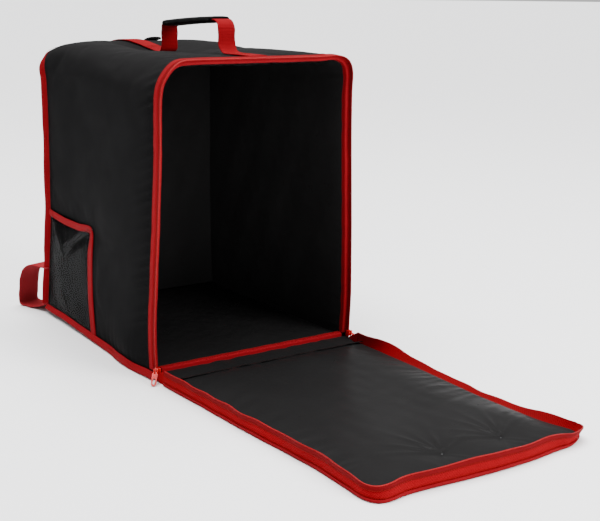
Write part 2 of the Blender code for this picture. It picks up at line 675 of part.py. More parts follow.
def make_handle(strap_top):
    """Two webbing legs on folds and a padded grip between them, a four-bar that lies down flat."""
    fold_radius = math.hypot(STRAP_THICKNESS / 2, LEG_END_OVERHANG)
    low_pivot = strap_top + LAYER_GAP + fold_radius
    high_pivot = low_pivot + LEG_LENGTH
    for word, y in (("rear", HANDLE_REAR_Y), ("front", HANDLE_FRONT_Y)):
        low = low_pivot - LEG_END_OVERHANG
        high = high_pivot - fold_radius - LAYER_GAP
        leg = sweep("handle_leg_" + word, strap_section(y, low, Y_AXIS, STRAP_WIDTH, STRAP_THICKNESS, 0),
                    [("run", Z_AXIS * (high - low))], WEBBING)
        shift_origin(leg, Vector((0, y, low_pivot)))

    start = high_pivot - LEG_END_OVERHANG
    span = HANDLE_REAR_Y - HANDLE_FRONT_Y
    slope = math.atan2(GRIP_RISE, span - REAR_TURN_RADIUS - FRONT_TURN_RADIUS)
    rear_angle, front_angle = QUARTER - slope, QUARTER + slope
    rear_reach = REAR_TURN_RADIUS * (1 - math.cos(rear_angle))
    rear_lift = REAR_TURN_RADIUS * math.sin(rear_angle)
    front_reach = FRONT_TURN_RADIUS * (1 - math.cos(front_angle))
    front_drop = FRONT_TURN_RADIUS * math.sin(front_angle)
    straight = (span - rear_reach - front_reach) / math.cos(slope)
    stub = REAR_TURN_RADIUS / 2
    crest = stub + rear_lift + straight * math.sin(slope)
    legs = [("run", stub), ("turn", REAR_TURN_RADIUS, rear_angle), ("run", straight),
            ("turn", FRONT_TURN_RADIUS, front_angle), ("run", crest - front_drop)]
    moves = path_moves(Vector((0, HANDLE_REAR_Y, start)), Z_AXIS, X_AXIS, legs)
    section = strap_section(HANDLE_REAR_Y, start, Y_AXIS, STRAP_WIDTH, STRAP_THICKNESS, 0)
    webbing = sweep("handle_webbing", section, moves, WEBBING)

    rear_end = Vector((0, HANDLE_REAR_Y - rear_reach, start + stub + rear_lift))
    travel = Vector((0, -math.cos(slope), math.sin(slope)))
    middle = rear_end + travel * straight / 2
    length = straight - 2 * GRIP_END_INSET
    grip = box("handle_grip", (-GRIP_WIDTH / 2, -length / 2, -GRIP_THICKNESS / 2),
               (GRIP_WIDTH / 2, length / 2, GRIP_THICKNESS / 2), GRIP_PAD)
    add_bevel(grip, GRIP_BEVEL, 3)
    half_slot = STRAP_WIDTH / 2 + LAYER_GAP
    half_gap = STRAP_THICKNESS / 2 + LAYER_GAP
    slot = box("grip_slot", (-half_slot, -length / 2 - CUT_OVERRUN, -half_gap),
               (half_slot, length / 2 + CUT_OVERRUN, half_gap), None, CUTTERS)
    add_boolean(grip, as_cutter(slot), "DIFFERENCE")
    for thing in (grip, slot):
        thing.location = middle
        thing.rotation_euler = (-slope, 0, 0)
    shift_origin(webbing, Vector((0, HANDLE_REAR_Y, high_pivot)))


def shift_origin(thing, place):
    """Put a mesh's origin on its joint axis and leave its shape where it is."""
    thing.data.transform(Matrix.Translation(-place))
    thing.location = place


def make_rear_loops(seam_reach):
    """Webbing loops at the back's bottom corners, sewn flat at the top and into the base seam below."""
    offset = HALF_WIDTH - LOOP_EDGE_INSET - LOOP_WIDTH / 2
    half = LOOP_THICKNESS / 2
    top = LOOP_HEIGHT - half
    floor = FLOOR_CLEARANCE + half
    drop = top - floor - LOOP_TOP_RADIUS - LOOP_BOTTOM_RADIUS
    start = BACK + LAYER_GAP
    reach = LOOP_REACH - half
    legs = [("run", reach - LOOP_TOP_RADIUS), ("turn", LOOP_TOP_RADIUS, -QUARTER), ("run", drop),
            ("turn", LOOP_BOTTOM_RADIUS, -QUARTER), ("run", reach - LOOP_BOTTOM_RADIUS - seam_reach)]
    for word, x in (("left", -offset), ("right", offset)):
        section = strap_section(start, top, Z_AXIS, LOOP_WIDTH, LOOP_THICKNESS, x)
        moves = path_moves(Vector((x, start, top)), Y_AXIS, X_AXIS, legs)
        sweep("rear_loop_" + word, section, moves, WEBBING)


def make_tab():
    low = BAG_HEIGHT + LAYER_GAP
    tab = box("rear_tab", (TAB_X - TAB_WIDTH / 2, SHELL_BACK - TAB_LENGTH, low),
              (TAB_X + TAB_WIDTH / 2, SHELL_BACK, low + TAB_THICKNESS), GRIP_PAD)
    add_bevel(tab, TAB_BEVEL, 2)


def main():
    cavity_back = make_walls()
    base_top = make_base(cavity_back)
    seam_top, seam_reach = make_base_binding()
    front_bottom = max(seam_top, base_top + BINDING_THICKNESS) + LAYER_GAP
    make_front_binding(base_top, front_bottom)
    make_back_binding(seam_top + LAYER_GAP)
    make_body_zipper()
    make_sliders()
    make_flap()
    make_pocket(seam_top)
    strap_top = make_strap()
    make_handle(strap_top)
    make_rear_loops(seam_reach)
    make_tab()


main()
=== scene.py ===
"""Dresses the insulated delivery bag: panels, bindings, zipper, webbing, flap, camera and light."""
import math

import bmesh
import bpy
import numpy as np
from mathutils import Matrix, Vector


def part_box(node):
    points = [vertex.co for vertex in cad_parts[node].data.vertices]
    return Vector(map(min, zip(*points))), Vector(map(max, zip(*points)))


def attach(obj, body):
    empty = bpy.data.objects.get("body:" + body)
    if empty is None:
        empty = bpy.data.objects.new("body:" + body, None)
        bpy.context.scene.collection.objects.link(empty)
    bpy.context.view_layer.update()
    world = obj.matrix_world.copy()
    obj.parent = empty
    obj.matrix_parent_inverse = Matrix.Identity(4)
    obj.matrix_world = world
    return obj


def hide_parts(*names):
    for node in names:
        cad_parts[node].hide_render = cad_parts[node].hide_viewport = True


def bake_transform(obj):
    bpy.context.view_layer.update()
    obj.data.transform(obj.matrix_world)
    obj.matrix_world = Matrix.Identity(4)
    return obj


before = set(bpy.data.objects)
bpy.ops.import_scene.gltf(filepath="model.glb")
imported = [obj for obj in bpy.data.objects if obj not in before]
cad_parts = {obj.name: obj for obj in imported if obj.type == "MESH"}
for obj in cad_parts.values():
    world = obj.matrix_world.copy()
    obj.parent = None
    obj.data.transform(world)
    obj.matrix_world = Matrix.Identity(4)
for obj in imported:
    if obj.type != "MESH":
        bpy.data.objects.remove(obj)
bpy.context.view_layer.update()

# Sizes that the solids have too
HALF = 0.1825
FRONT = -0.220
BACK = 0.220
TOP = 0.485
CORNER = 0.042
GAP = 0.0003
WALL = 0.0124
PINCHED_WALL = 0.0068
PANEL_FRONT = -0.2099
BINDING_FRONT = -0.2112
BINDING_WIDTH = 0.0110
SHELL_BACK = 0.2187
BASE_BACK = 0.2064
WALL_BOTTOM = 0.0018
BASE_TOP = 0.0145
SEAM_TOP = 0.0123
FRONT_TAPE_FOOT = 0.0158
HINGE = (0.0, -0.244, 0.0015)
FLAP_NEAR = -0.2443
FLAP_FAR = -0.7275
BAND_TOP = 0.0247
LINER_TOP = 0.0104
TACKS = ((-0.025, -0.6725), (0.078, -0.6725))
STRAP_HALF = 0.016
HANDLE_X = 0.0045
HIGH_PIVOT = 0.524385
LEG_REAR = 0.080
LEG_FRONT = -0.110
POCKET_FRONT = 0.0187
POCKET_LOW = 0.0126
POCKET_HIGH = 0.1953

Y = np.array((0.0, 1.0, 0.0))
Z = np.array((0.0, 0.0, 1.0))


# Small helpers

def ease(low, high, value):
    """Runs smoothly from 0 at low to 1 at high; low may be above high."""
    share = np.clip((value - low) / (high - low), 0, 1)
    return share * share * (3 - 2 * share)


def join(*coordinates):
    """Points from their coordinates; a coordinate may be one number for all of them."""
    return np.stack(np.broadcast_arrays(*coordinates), -1)


def lengths(points):
    """How far each point lies along its line."""
    return np.concatenate([[0], np.cumsum(np.linalg.norm(np.diff(points, axis=0), axis=1))])


def past(distance):
    """How far a place lies past an edge, in metres, and 0 before it."""
    return np.clip(distance, 0, 1)


def rise(distance, reach):
    """Grows from 0 at a seam towards 1 beyond its reach."""
    return 1 - np.exp(-distance / reach)


def field(seed, shortest, longest, count=9, lean=(0, math.pi)):
    """A smooth, seeded unevenness over two coordinates in metres, about -1 to 1."""
    rng = np.random.default_rng(seed)
    angles = rng.uniform(*lean, count)
    lengths = rng.uniform(shortest, longest, count)
    phases = rng.uniform(0, 2 * math.pi, count)

    def value(u, v=0.0):
        total = 0.0
        for angle, length, phase in zip(angles, lengths, phases):
            total = total + np.sin(2 * math.pi * (u * math.cos(angle) + v * math.sin(angle)) / length + phase)
        return total / math.sqrt(count)
    return value


def ripple(seed, shortest, longest, count=7):
    """A seeded unevenness along one coordinate."""
    return field(seed, shortest, longest, count, (0, 0.001))


def line_through(*knots, smooth=0.016):
    """A smooth function that runs close by its knots of place and value."""
    places, values = np.array(knots).T
    fine = np.linspace(places[0] - 0.08, places[-1] + 0.08, 600)
    reach = int(3 * smooth / (fine[1] - fine[0]))
    kernel = np.exp(-0.5 * (np.arange(-reach, reach + 1) * (fine[1] - fine[0]) / smooth) ** 2)
    rough = np.pad(np.interp(fine, places, values), reach, mode="edge")
    even = np.convolve(rough, kernel / kernel.sum(), "valid")
    return lambda at: np.interp(at, fine, even)


def unit(vectors):
    return vectors / np.linalg.norm(vectors, axis=-1, keepdims=True)


def outline_u(length, half_width, radius, step):
    """Up the left side, round, across, round and down the right side: points, outward normals, distances."""
    rise, quarter, across = length - radius, radius * math.pi / 2, 2 * (half_width - radius)
    total = 2 * rise + 2 * quarter + across
    s = np.linspace(0, total, int(round(total / step)) + 1)
    ends = np.cumsum([rise, quarter, across, quarter, rise])
    a, b, na, nb = (np.zeros_like(s) for _ in range(4))
    part = s <= ends[0]
    a[part], b[part], na[part] = -half_width, s[part], -1
    part = (s > ends[0]) & (s <= ends[1])
    turn = (s[part] - ends[0]) / radius
    a[part], b[part] = -half_width + radius * (1 - np.cos(turn)), rise + radius * np.sin(turn)
    na[part], nb[part] = -np.cos(turn), np.sin(turn)
    part = (s > ends[1]) & (s <= ends[2])
    a[part], b[part], nb[part] = -half_width + radius + s[part] - ends[1], length, 1
    part = (s > ends[2]) & (s <= ends[3])
    turn = (s[part] - ends[2]) / radius
    a[part], b[part] = half_width - radius * (1 - np.sin(turn)), length - radius * (1 - np.cos(turn))
    na[part], nb[part] = np.sin(turn), np.cos(turn)
    part = s > ends[3]
    a[part], b[part], na[part] = half_width, rise - (s[part] - ends[3]), 1
    return join(a, b), join(na, nb), s


def arch(bottom, step):
    """The bag's outer outline from its bottom left over the top, with outward normals."""
    points, normals, s = outline_u(TOP - bottom, HALF, CORNER, step)
    return join(points[:, 0], 0, points[:, 1] + bottom), join(normals[:, 0], 0, normals[:, 1]), s


def rim(step):
    """The open flap's outline on the floor, from the fold's left end round to its right end."""
    points, normals, s = outline_u(FLAP_NEAR - FLAP_FAR, HALF, CORNER, step)
    return join(points[:, 0], FLAP_NEAR - points[:, 1], 0), join(normals[:, 0], -normals[:, 1], 0), s


def rounded_grid(columns, rows, half_width, low, high, radius):
    """A grid over a panel whose two corners at the high end are round: its places across and along."""
    across, along = np.meshgrid(np.linspace(-half_width, half_width, columns), np.linspace(low, high, rows))
    sign = math.copysign(1, high - low)
    a = np.clip((np.abs(across) - (half_width - radius)) / radius, 0, 1)
    b = np.clip((along - (high - sign * radius)) * sign / radius, 0, 1)
    corner = (a > 0) & (b > 0)
    round_a, round_b = a * np.sqrt(1 - b * b / 2), b * np.sqrt(1 - a * a / 2)
    across = np.where(corner, np.sign(across) * (half_width - radius + radius * round_a), across)
    along = np.where(corner, high - sign * radius * (1 - round_b), along)
    return across, along


def tape_outline(centre, thickness, flare=None):
    """The closed outline of a tape's cross-section with rounded edges, from its centre line."""
    centre = np.asarray(centre, float)
    distance = lengths(centre)
    half = thickness / 2
    edge = np.array([0.0, 0.25, 0.7, 1.3]) * half
    inner = distance[(distance > edge[-1] * 1.5) & (distance < distance[-1] - edge[-1] * 1.5)]
    where = np.concatenate([edge, inner, distance[-1] - edge[::-1]])
    line = join(np.interp(where, distance, centre[:, 0]), np.interp(where, distance, centre[:, 1]))
    heading = unit(np.gradient(line, where, axis=0))
    normal = join(-heading[:, 1], heading[:, 0])
    nearest = np.minimum(where, distance[-1] - where) / half
    width = half * np.sqrt(np.clip(1 - (1 - np.clip(nearest, 0.06, 1)) ** 2, 0, 1))
    if flare is not None:
        width = width * flare(where / distance[-1])
    offset = normal * width[:, None]
    return np.concatenate([line + offset, (line - offset)[::-1]])


def flat_line(low, high, count=7, bow=0.0):
    share = np.linspace(0, 1, count)
    return join(low + (high - low) * share, bow * np.sin(share * math.pi))


# Meshes

def put(name, data):
    """A new object in the scene."""
    thing = bpy.data.objects.new(name, data)
    bpy.context.scene.collection.objects.link(thing)
    return thing


def finish_piece(name, mesh, material, sharp):
    """Smooth shading that breaks at the sharp angle, one material, and the piece put in the scene."""
    mesh.shade_smooth()
    mesh.set_sharp_from_angle(angle=math.radians(sharp))
    mesh.materials.clear()
    mesh.materials.append(material)
    thing = put(name, mesh)
    return thing


def wear(piece, body, *nodes):
    """Lets a piece ride on a body and stand in for the frame's nodes."""
    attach(piece, body)
    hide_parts(*nodes)


def build(name, points, faces, uvs, material):
    """A mesh with smooth shading, its faces turned outward, and its cloth coordinates in metres."""
    mesh = bpy.data.meshes.new(name)
    mesh.from_pydata(points.tolist(), [], [list(face) for face in faces])
    layer = mesh.uv_layers.new(name="weave")
    layer.data.foreach_set("uv", np.concatenate([np.asarray(uv, np.float32).ravel() for uv in uvs]))
    work = bmesh.new()
    work.from_mesh(mesh)
    bmesh.ops.recalc_face_normals(work, faces=work.faces)
    work.to_mesh(mesh)
    work.free()
    return finish_piece(name, mesh, material, 50)


def patch(rows, columns, us, vs, start=0, wrap=False, back=False):
    """Faces and cloth coordinates of a grid of points."""
    across = columns if wrap else columns - 1
    i, j = np.meshgrid(np.arange(rows - 1), np.arange(across), indexing="ij")
    k = (j + 1) % columns
    faces = join(i * columns + j, (i + 1) * columns + j, (i + 1) * columns + k, i * columns + k)
    uv = np.stack([join(us[i], vs[j]), join(us[i + 1], vs[j]),
                   join(us[i + 1], vs[j + 1]), join(us[i], vs[j + 1])], -2)
    faces, uv = faces.reshape(-1, 4) + start, uv.reshape(-1, 4, 2)
    return (faces[:, ::-1], uv[:, ::-1]) if back else (faces, uv)


def slab(name, outer, inner, us, vs, material, deform=None):
    """A closed piece between two grids of the same layout."""
    rows, columns = outer.shape[:2]
    points = np.concatenate([outer.reshape(-1, 3), inner.reshape(-1, 3)])
    count = rows * columns
    front, front_uv = patch(rows, columns, us, vs)
    behind, behind_uv = patch(rows, columns, us, vs, count, back=True)
    border = [i * columns for i in range(rows)]
    border += [(rows - 1) * columns + j for j in range(1, columns)]
    border += [i * columns + columns - 1 for i in range(rows - 2, -1, -1)]
    border += [j for j in range(columns - 2, 0, -1)]
    border = np.array(border)
    following = np.roll(border, -1)
    edge = join(border, border + count, following + count, following)
    at = join(us[border // columns], vs[border % columns])
    to = np.roll(at, -1, axis=0)
    edge_uv = np.stack([at, at, to, to], 1)
    if deform:
        points = deform(points)
    return build(name, points, np.concatenate([front, behind, edge]), [front_uv, behind_uv, edge_uv],
                 material)


def sweep(name, path, side, lift, profile, material, deform=None):
    """A closed solid along a path from a cross-section in side and lift, one for all points or one each."""
    rows = len(path)
    profile = np.asarray(profile, float)
    if profile.ndim == 2:
        profile = np.broadcast_to(profile, (rows, *profile.shape))
    side, lift = (np.broadcast_to(axis, (rows, 3)) for axis in (side, lift))
    points = (path[:, None] + profile[..., 0, None] * side[:, None] + profile[..., 1, None] * lift[:, None])
    columns = profile.shape[1]
    us = lengths(path)
    vs = lengths(np.concatenate([profile[0], profile[0][:1]]))
    faces, uv = patch(rows, columns, us, vs, wrap=True)
    all_faces, all_uv = [faces], [uv]
    half = columns // 2
    for row in (0, rows - 1):
        k = np.arange(half - 1)
        cap = join(k, k + 1, columns - 2 - k, columns - 1 - k) + row * columns
        if row == 0:
            cap = cap[:, ::-1]
        all_faces.append(cap)
        corner = join(np.full(half - 1, us[row]), vs[k])
        all_uv.append(np.repeat(corner[:, None], 4, axis=1))
    points = points.reshape(-1, 3)
    if deform:
        points = deform(points)
    return build(name, points, np.concatenate(all_faces), all_uv, material)


STITCH_PITCH = 0.0034
STITCH_SHARE = 0.68
THREAD_RADIUS = 0.00034
THREAD_SINK = 0.00008


def sew(name, line, out, material, body, deform=None, pitch=STITCH_PITCH):
    """A row of short thread loops on a surface, along a line of points with outward normals, on a body."""
    length = lengths(line)
    starts = np.arange(pitch, length[-1] - pitch, pitch)
    along = np.array([0.0, 0.12, 0.5, 0.88, 1.0])
    lift = np.array([-0.9, 0.3, 0.75, 0.3, -0.9]) * THREAD_RADIUS
    thick = np.array([0.35, 0.9, 1.0, 0.9, 0.35]) * THREAD_RADIUS
    where = (starts[:, None] + along[None] * pitch * STITCH_SHARE).ravel()
    centre = np.stack([np.interp(where, length, line[:, axis]) for axis in range(3)], 1)
    normal = unit(np.stack([np.interp(where, length, out[:, axis]) for axis in range(3)], 1))
    ahead = np.stack([np.interp(where + 0.0005, length, line[:, axis]) for axis in range(3)], 1) - centre
    ahead = unit(ahead)
    across = unit(np.cross(normal, ahead))
    centre = centre + normal * (np.tile(lift, len(starts)) - THREAD_SINK)[:, None]
    angles = np.arange(5) * 2 * math.pi / 5
    size = np.tile(thick, len(starts))[:, None, None]
    ring = centre[:, None] + size * (np.cos(angles)[None, :, None] * across[:, None]
                                     + np.sin(angles)[None, :, None] * normal[:, None])
    points = ring.reshape(-1, 3)
    if deform:
        points = deform(points)
    first = np.arange(len(starts)) * 25
    faces = []
    for level in range(4):
        for k in range(5):
            a, b = level * 5 + k, level * 5 + (k + 1) % 5
            faces.append(join(first + a, first + b, first + b + 5, first + a + 5))
    faces = np.concatenate(faces).tolist()
    for base in first.tolist():
        faces.append([base + k for k in (4, 3, 2, 1, 0)])
        faces.append([base + 20 + k for k in range(5)])
    uvs = [np.zeros((sum(len(face) for face in faces), 2))]
    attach(build(name, points, faces, uvs, material), body)


# Materials

class Shade:
    """A principled material with a few short words for wiring its nodes."""

    def __init__(self, name, **sockets):
        self.material = bpy.data.materials.new(name)
        self.material.use_nodes = True
        self.nodes = self.material.node_tree.nodes
        self.links = self.material.node_tree.links
        self.shader = self.nodes["Principled BSDF"]
        for socket, value in sockets.items():
            self.shader.inputs[socket.replace("_", " ")].default_value = value

    def add(self, kind, inputs=None, **settings):
        node = self.nodes.new("ShaderNode" + kind)
        for key, value in settings.items():
            setattr(node, key, value)
        for key, value in (inputs or {}).items():
            if isinstance(value, bpy.types.NodeSocket):
                self.links.new(value, node.inputs[key])
            else:
                node.inputs[key].default_value = value
        return node

    def sum(self, operation, first, second=0.0, third=None, clamp=False):
        inputs = {0: first, 1: second}
        if third is not None:
            inputs[2] = third
        return self.add("Math", inputs, operation=operation, use_clamp=clamp).outputs[0]

    def times(self, first, second):
        return self.sum("MULTIPLY", first, second)

    def plus(self, first, second, clamp=False):
        return self.sum("ADD", first, second, clamp=clamp)

    def scaled(self, value, factor, start):
        return self.sum("MULTIPLY_ADD", value, factor, start)

    def noise(self, place, scale, detail=3.0, rough=0.5, stretch=None):
        if stretch:
            place = self.add("Mapping", {"Vector": place, "Scale": stretch}).outputs[0]
        node = self.add("TexNoise", {"Vector": place, "Scale": scale, "Detail": detail, "Roughness": rough})
        return node.outputs["Fac"]

    def spread(self, value, low, high, to_low=0.0, to_high=1.0):
        return self.add("MapRange", {"Value": value, "From Min": low, "From Max": high,
                                     "To Min": to_low, "To Max": to_high}).outputs[0]

    def mix(self, share, first, second):
        node = self.nodes.new("ShaderNodeMix")
        node.data_type = "RGBA"
        for socket, value in ((node.inputs[0], share), (node.inputs[6], first), (node.inputs[7], second)):
            if isinstance(value, bpy.types.NodeSocket):
                self.links.new(value, socket)
            else:
                socket.default_value = value if isinstance(value, float) else (*value, 1)
        return node.outputs[2]

    def upward(self):
        """How far a face looks up, 1 for level."""
        return self.add("SeparateXYZ", {0: self.add("NewGeometry").outputs["Normal"]}).outputs[2]

    def cloth(self):
        """The two cloth coordinates in metres, along and across."""
        place = self.add("UVMap", uv_map="weave").outputs[0]
        split = self.add("SeparateXYZ", {0: place})
        return split.outputs[0], split.outputs[1]

    def place(self):
        return self.add("TexCoord").outputs["Object"]

    def wave(self, value, pitch):
        return self.sum("SINE", self.times(value, 2 * math.pi / pitch))

    def finish(self, colour, roughness, height, strength, distance):
        """Wires the colour, the roughness and a bump, whose distance is in metres."""
        bump = self.add("Bump", {"Height": height, "Strength": strength, "Distance": distance}).outputs[0]
        for socket, value in (("Base Color", colour), ("Roughness", roughness), ("Normal", bump)):
            self.links.new(value, self.shader.inputs[socket])
        return self.material


def woven(name, light, dark, pitch, cross, rough=(0.55, 0.75), bump=0.5, depth=0.0003, blotch=0.25,
          sheen=0.02, rib=0.0, specular=0.020, tint=(1.0, 0.16, 0.12, 1), painted_shade_on_top=0.0):
    """Cloth of two thread systems; rib turns the plain weave into cross ribs as on a tape; the last argument
    paints shade on faces that look up.
    """
    shade = Shade(name, Sheen_Weight=sheen, Sheen_Roughness=0.45, Specular_IOR_Level=specular,
                  Sheen_Tint=tint, Specular_Tint=tint)
    u, v = shade.cloth()
    place = shade.place()
    warp, weft = shade.wave(u, pitch), shade.wave(v, cross)
    plain = shade.scaled(shade.times(warp, weft), 0.5, 0.5)
    ribs = shade.scaled(warp, 0.5, 0.5)
    height = shade.plus(shade.times(plain, 1.0 - rib), shade.times(ribs, rib))
    fibre = shade.noise(place, 900.0, 2.0, 0.6)
    patchy = shade.noise(place, 14.0, 4.0, 0.55)
    height = shade.plus(height, shade.times(fibre, 0.35))
    tone = shade.plus(shade.times(height, 0.55), shade.times(patchy, blotch),
                      clamp=True)
    colour = shade.mix(tone, dark, light)
    # Painted shade: faces that look up are darkened towards the dark tone by up to this share.
    if painted_shade_on_top:
        colour = shade.mix(shade.spread(shade.upward(), 0.3, 0.9, 0.0, painted_shade_on_top), colour, dark)
    roughness = shade.spread(patchy, 0.3, 0.7, *rough)
    return shade.finish(colour, roughness, height, bump, depth)


def nylon():
    shade = Shade("nylon_cover", Sheen_Weight=0.004, Sheen_Roughness=0.4, Specular_IOR_Level=0.004,
                  Sheen_Tint=(0.85, 0.85, 0.90, 1))
    u, v = shade.cloth()
    place = shade.place()
    weave = shade.times(shade.wave(u, 0.0011), shade.wave(v, 0.0011))
    fibre = shade.noise(place, 700.0, 2.0, 0.6)
    crumple = shade.noise(place, 26.0, 4.0, 0.55)
    cloud = shade.noise(place, 5.0, 3.0, 0.5)
    height = shade.plus(shade.times(weave, 0.10), shade.times(fibre, 0.16))
    height = shade.plus(height, shade.times(crumple, 0.30))
    tone = shade.plus(shade.times(cloud, 0.55), shade.times(fibre, 0.45), clamp=True)
    colour = shade.mix(tone, (0.0034, 0.0034, 0.0035), (0.0056, 0.0055, 0.0057))
    # Painted light: faces that look up are mixed towards a lighter grey, so the top and its shoulders read as
    # lit from above.
    colour = shade.mix(shade.spread(shade.upward(), 0.02, 0.65, 0.0, 0.9), colour, (0.0105, 0.0102, 0.0104))
    roughness = shade.spread(crumple, 0.25, 0.75, 0.42, 0.54)
    return shade.finish(colour, roughness, height, 0.35, 0.0010)


def liner():
    shade = Shade("wipe_clean_liner", Specular_IOR_Level=0.017)
    place = shade.place()
    crease = shade.noise(place, 38.0, 5.0, 0.6)
    grain = shade.noise(place, 420.0, 2.0, 0.5)
    cloud = shade.noise(place, 6.0, 3.0, 0.5)
    height = shade.plus(shade.times(crease, 0.9), shade.times(grain, 0.10))
    colour = shade.mix(shade.spread(cloud, 0.3, 0.7), (0.0084, 0.0081, 0.0082), (0.0104, 0.0101, 0.0102))
    roughness = shade.spread(crease, 0.3, 0.7, 0.27, 0.38)
    return shade.finish(colour, roughness, height, 0.40, 0.0009)


def enamel():
    shade = Shade("red_slider_enamel", Metallic=0.0, Coat_Weight=0.16, Coat_Roughness=0.08,
                  Specular_IOR_Level=0.08)
    place = shade.place()
    chips = shade.noise(place, 900.0, 4.0, 0.65)
    cloud = shade.noise(place, 160.0, 3.0, 0.5)
    colour = shade.mix(cloud, (0.40, 0.004, 0.004), (0.52, 0.008, 0.007))
    colour = shade.mix(shade.spread(chips, 0.70, 0.76), colour, (0.55, 0.40, 0.38))
    return shade.finish(colour, shade.spread(cloud, 0.3, 0.7, 0.16, 0.30), cloud, 0.06, 0.0002)


def clear_sheet():
    shade = Shade("clear_pocket_sheet", Alpha=0.20, IOR=1.5)
    place = shade.place()
    film = shade.noise(place, 16.0, 2.0, 0.5)
    scuff = shade.noise(place, 60.0, 2.0, 0.5, (1.0, 1.0, 0.2))
    colour = shade.mix(film, (0.008, 0.008, 0.0082), (0.017, 0.017, 0.0174))
    up, along = shade.cloth()
    edges = [shade.scaled(along, slope, start) for slope, start in ((1.06, -0.016), (-0.46, 0.182))]
    near = shade.sum("SUBTRACT", up, shade.plus(edges[1], shade.times(film, 0.012)))
    tuck = shade.sum("MINIMUM", shade.sum("SUBTRACT", up, edges[0]), near)
    # Painted shade: in the tuck and in a band under the long crease the sheet's colour is darkened to near
    # black and its specular turned down, standing for folds that catch no reflection.
    shade_below_crease = shade.times(shade.spread(near, -0.030, -0.026), shade.spread(near, -0.010, -0.014))
    shade_below_crease = shade.times(shade_below_crease, shade.spread(along, 0.105, 0.080))
    painted_shade_mask = shade.sum("MAXIMUM", shade.spread(tuck, 0.0, 0.004), shade_below_crease)
    colour = shade.mix(shade.times(painted_shade_mask, 0.9), colour, (0.0006, 0.0006, 0.0006))
    roughness = shade.plus(shade.spread(film, 0.3, 0.7, 0.06, 0.14), shade.times(scuff, 0.08))
    shade.links.new(shade.spread(painted_shade_mask, 0.0, 1.0, 0.016, 0.001), shade.shader.inputs["Specular IOR Level"])
    return shade.finish(colour, roughness, film, 0.12, 0.0006)


def grip_cover():
    shade = Shade("grip_cover", Specular_IOR_Level=0.03, Sheen_Weight=0.004, Sheen_Roughness=0.5)
    u, v = shade.cloth()
    place = shade.place()
    weave = shade.times(shade.wave(u, 0.0012), shade.wave(v, 0.0012))
    fuzz = shade.noise(place, 800.0, 3.0, 0.6)
    cloud = shade.noise(place, 60.0, 3.0, 0.5)
    height = shade.plus(shade.times(weave, 0.35), shade.times(fuzz, 0.5))
    colour = shade.mix(shade.scaled(cloud, 0.6, 0.1), (0.0006, 0.0006, 0.0007),
                       (0.0018, 0.0018, 0.0020))
    return shade.finish(colour, shade.spread(cloud, 0.3, 0.7, 0.5, 0.7), height, 0.4, 0.0004)


def gloss_black():
    shade = Shade("tack_lacquer", Metallic=0.1, Coat_Weight=0.06, Coat_Roughness=0.10,
                  Specular_IOR_Level=0.06)
    place = shade.place()
    cloud = shade.noise(place, 500.0, 3.0, 0.6)
    colour = shade.mix(cloud, (0.004, 0.004, 0.0045), (0.012, 0.012, 0.013))
    return shade.finish(colour, shade.spread(cloud, 0.3, 0.7, 0.18, 0.34), cloud, 0.08, 0.0002)


def board():
    shade = Shade("stiffener_board")
    place = shade.place()
    grain = shade.noise(place, 240.0, 5.0, 0.7, (1.0, 0.15, 1.0))
    colour = shade.mix(grain, (0.030, 0.028, 0.026), (0.075, 0.070, 0.064))
    return shade.finish(colour, shade.spread(grain, 0.3, 0.7, 0.7, 0.9), grain, 0.3, 0.0003)


NYLON = nylon()
LINER = liner()
BINDING = woven(
    "red_binding_tape", (0.25, 0.0070, 0.0120), (0.10, 0.0032, 0.0052), 0.0013, 0.0019, rib=0.7,
    bump=0.55, depth=0.0003)
# The band gets painted shade on faces that look up.
BAND = woven(
    "red_zip_band", (0.285, 0.0040, 0.0085), (0.06, 0.0010, 0.0020), 0.0036, 0.0040, rib=0.10, bump=0.7,
    depth=0.0006, blotch=0.45, specular=0.012, painted_shade_on_top=0.65)
WEBBING = woven(
    "red_webbing", (0.25, 0.0056, 0.0100), (0.09, 0.0024, 0.0040), 0.0024, 0.0027, rib=0.45, bump=0.8,
    depth=0.0006, blotch=0.3, sheen=0.004)
# Painted light: a lighter copy of the red webbing, used only for the loops so that their shaded side reads as
# lit; the loops are the same webbing as the straps.
LIT_COPY_LOOP_WEBBING = woven(
    "red_webbing_painted_light_copy", (0.33, 0.0220, 0.0290), (0.13, 0.0090, 0.0125), 0.0024, 0.0027, rib=0.45,
    bump=0.8, depth=0.0006, blotch=0.3)
ZIP_TAPE = woven(
    "red_zip_tape", (0.17, 0.0056, 0.0085), (0.065, 0.0022, 0.0034), 0.0010, 0.0012, rib=0.3, bump=0.4,
    depth=0.0002)
COIL = woven(
    "red_zip_coil", (0.30, 0.0070, 0.0105), (0.13, 0.0034, 0.0050), 0.0016, 0.0030, rough=(0.28, 0.4),
    rib=1.0, bump=0.2, depth=0.0002, sheen=0.01, specular=0.12, tint=(1.0, 0.35, 0.30, 1))
RED_THREAD = woven(
    "red_thread", (0.28, 0.0120, 0.0100), (0.11, 0.0048, 0.0042), 0.0006, 0.0006, rough=(0.4, 0.55),
    bump=0.3, depth=0.0002)
BLACK_THREAD = woven(
    "black_thread", (0.010, 0.010, 0.0105), (0.003, 0.003, 0.003), 0.0006, 0.0006, rough=(0.4, 0.55),
    bump=0.3, depth=0.0002, sheen=0.01, specular=0.15, tint=(1, 1, 1, 1))
ENAMEL = enamel()
CLEAR = clear_sheet()
GRIP = grip_cover()
TACK = gloss_black()
BOARD = board()


# Cloth

def even_rows(values, wanted):
    """Rows of values brought to a wanted number of rows, without corners between them."""
    spots = np.linspace(0, 1, len(values))
    flat = values.reshape(len(values), -1)
    rows = np.stack([np.interp(np.linspace(0, 1, wanted), spots, column) for column in flat.T], 1)
    rows[1:-1] = 0.5 * rows[1:-1] + 0.25 * (rows[:-2] + rows[2:])
    return rows.reshape(wanted, *values.shape[1:])


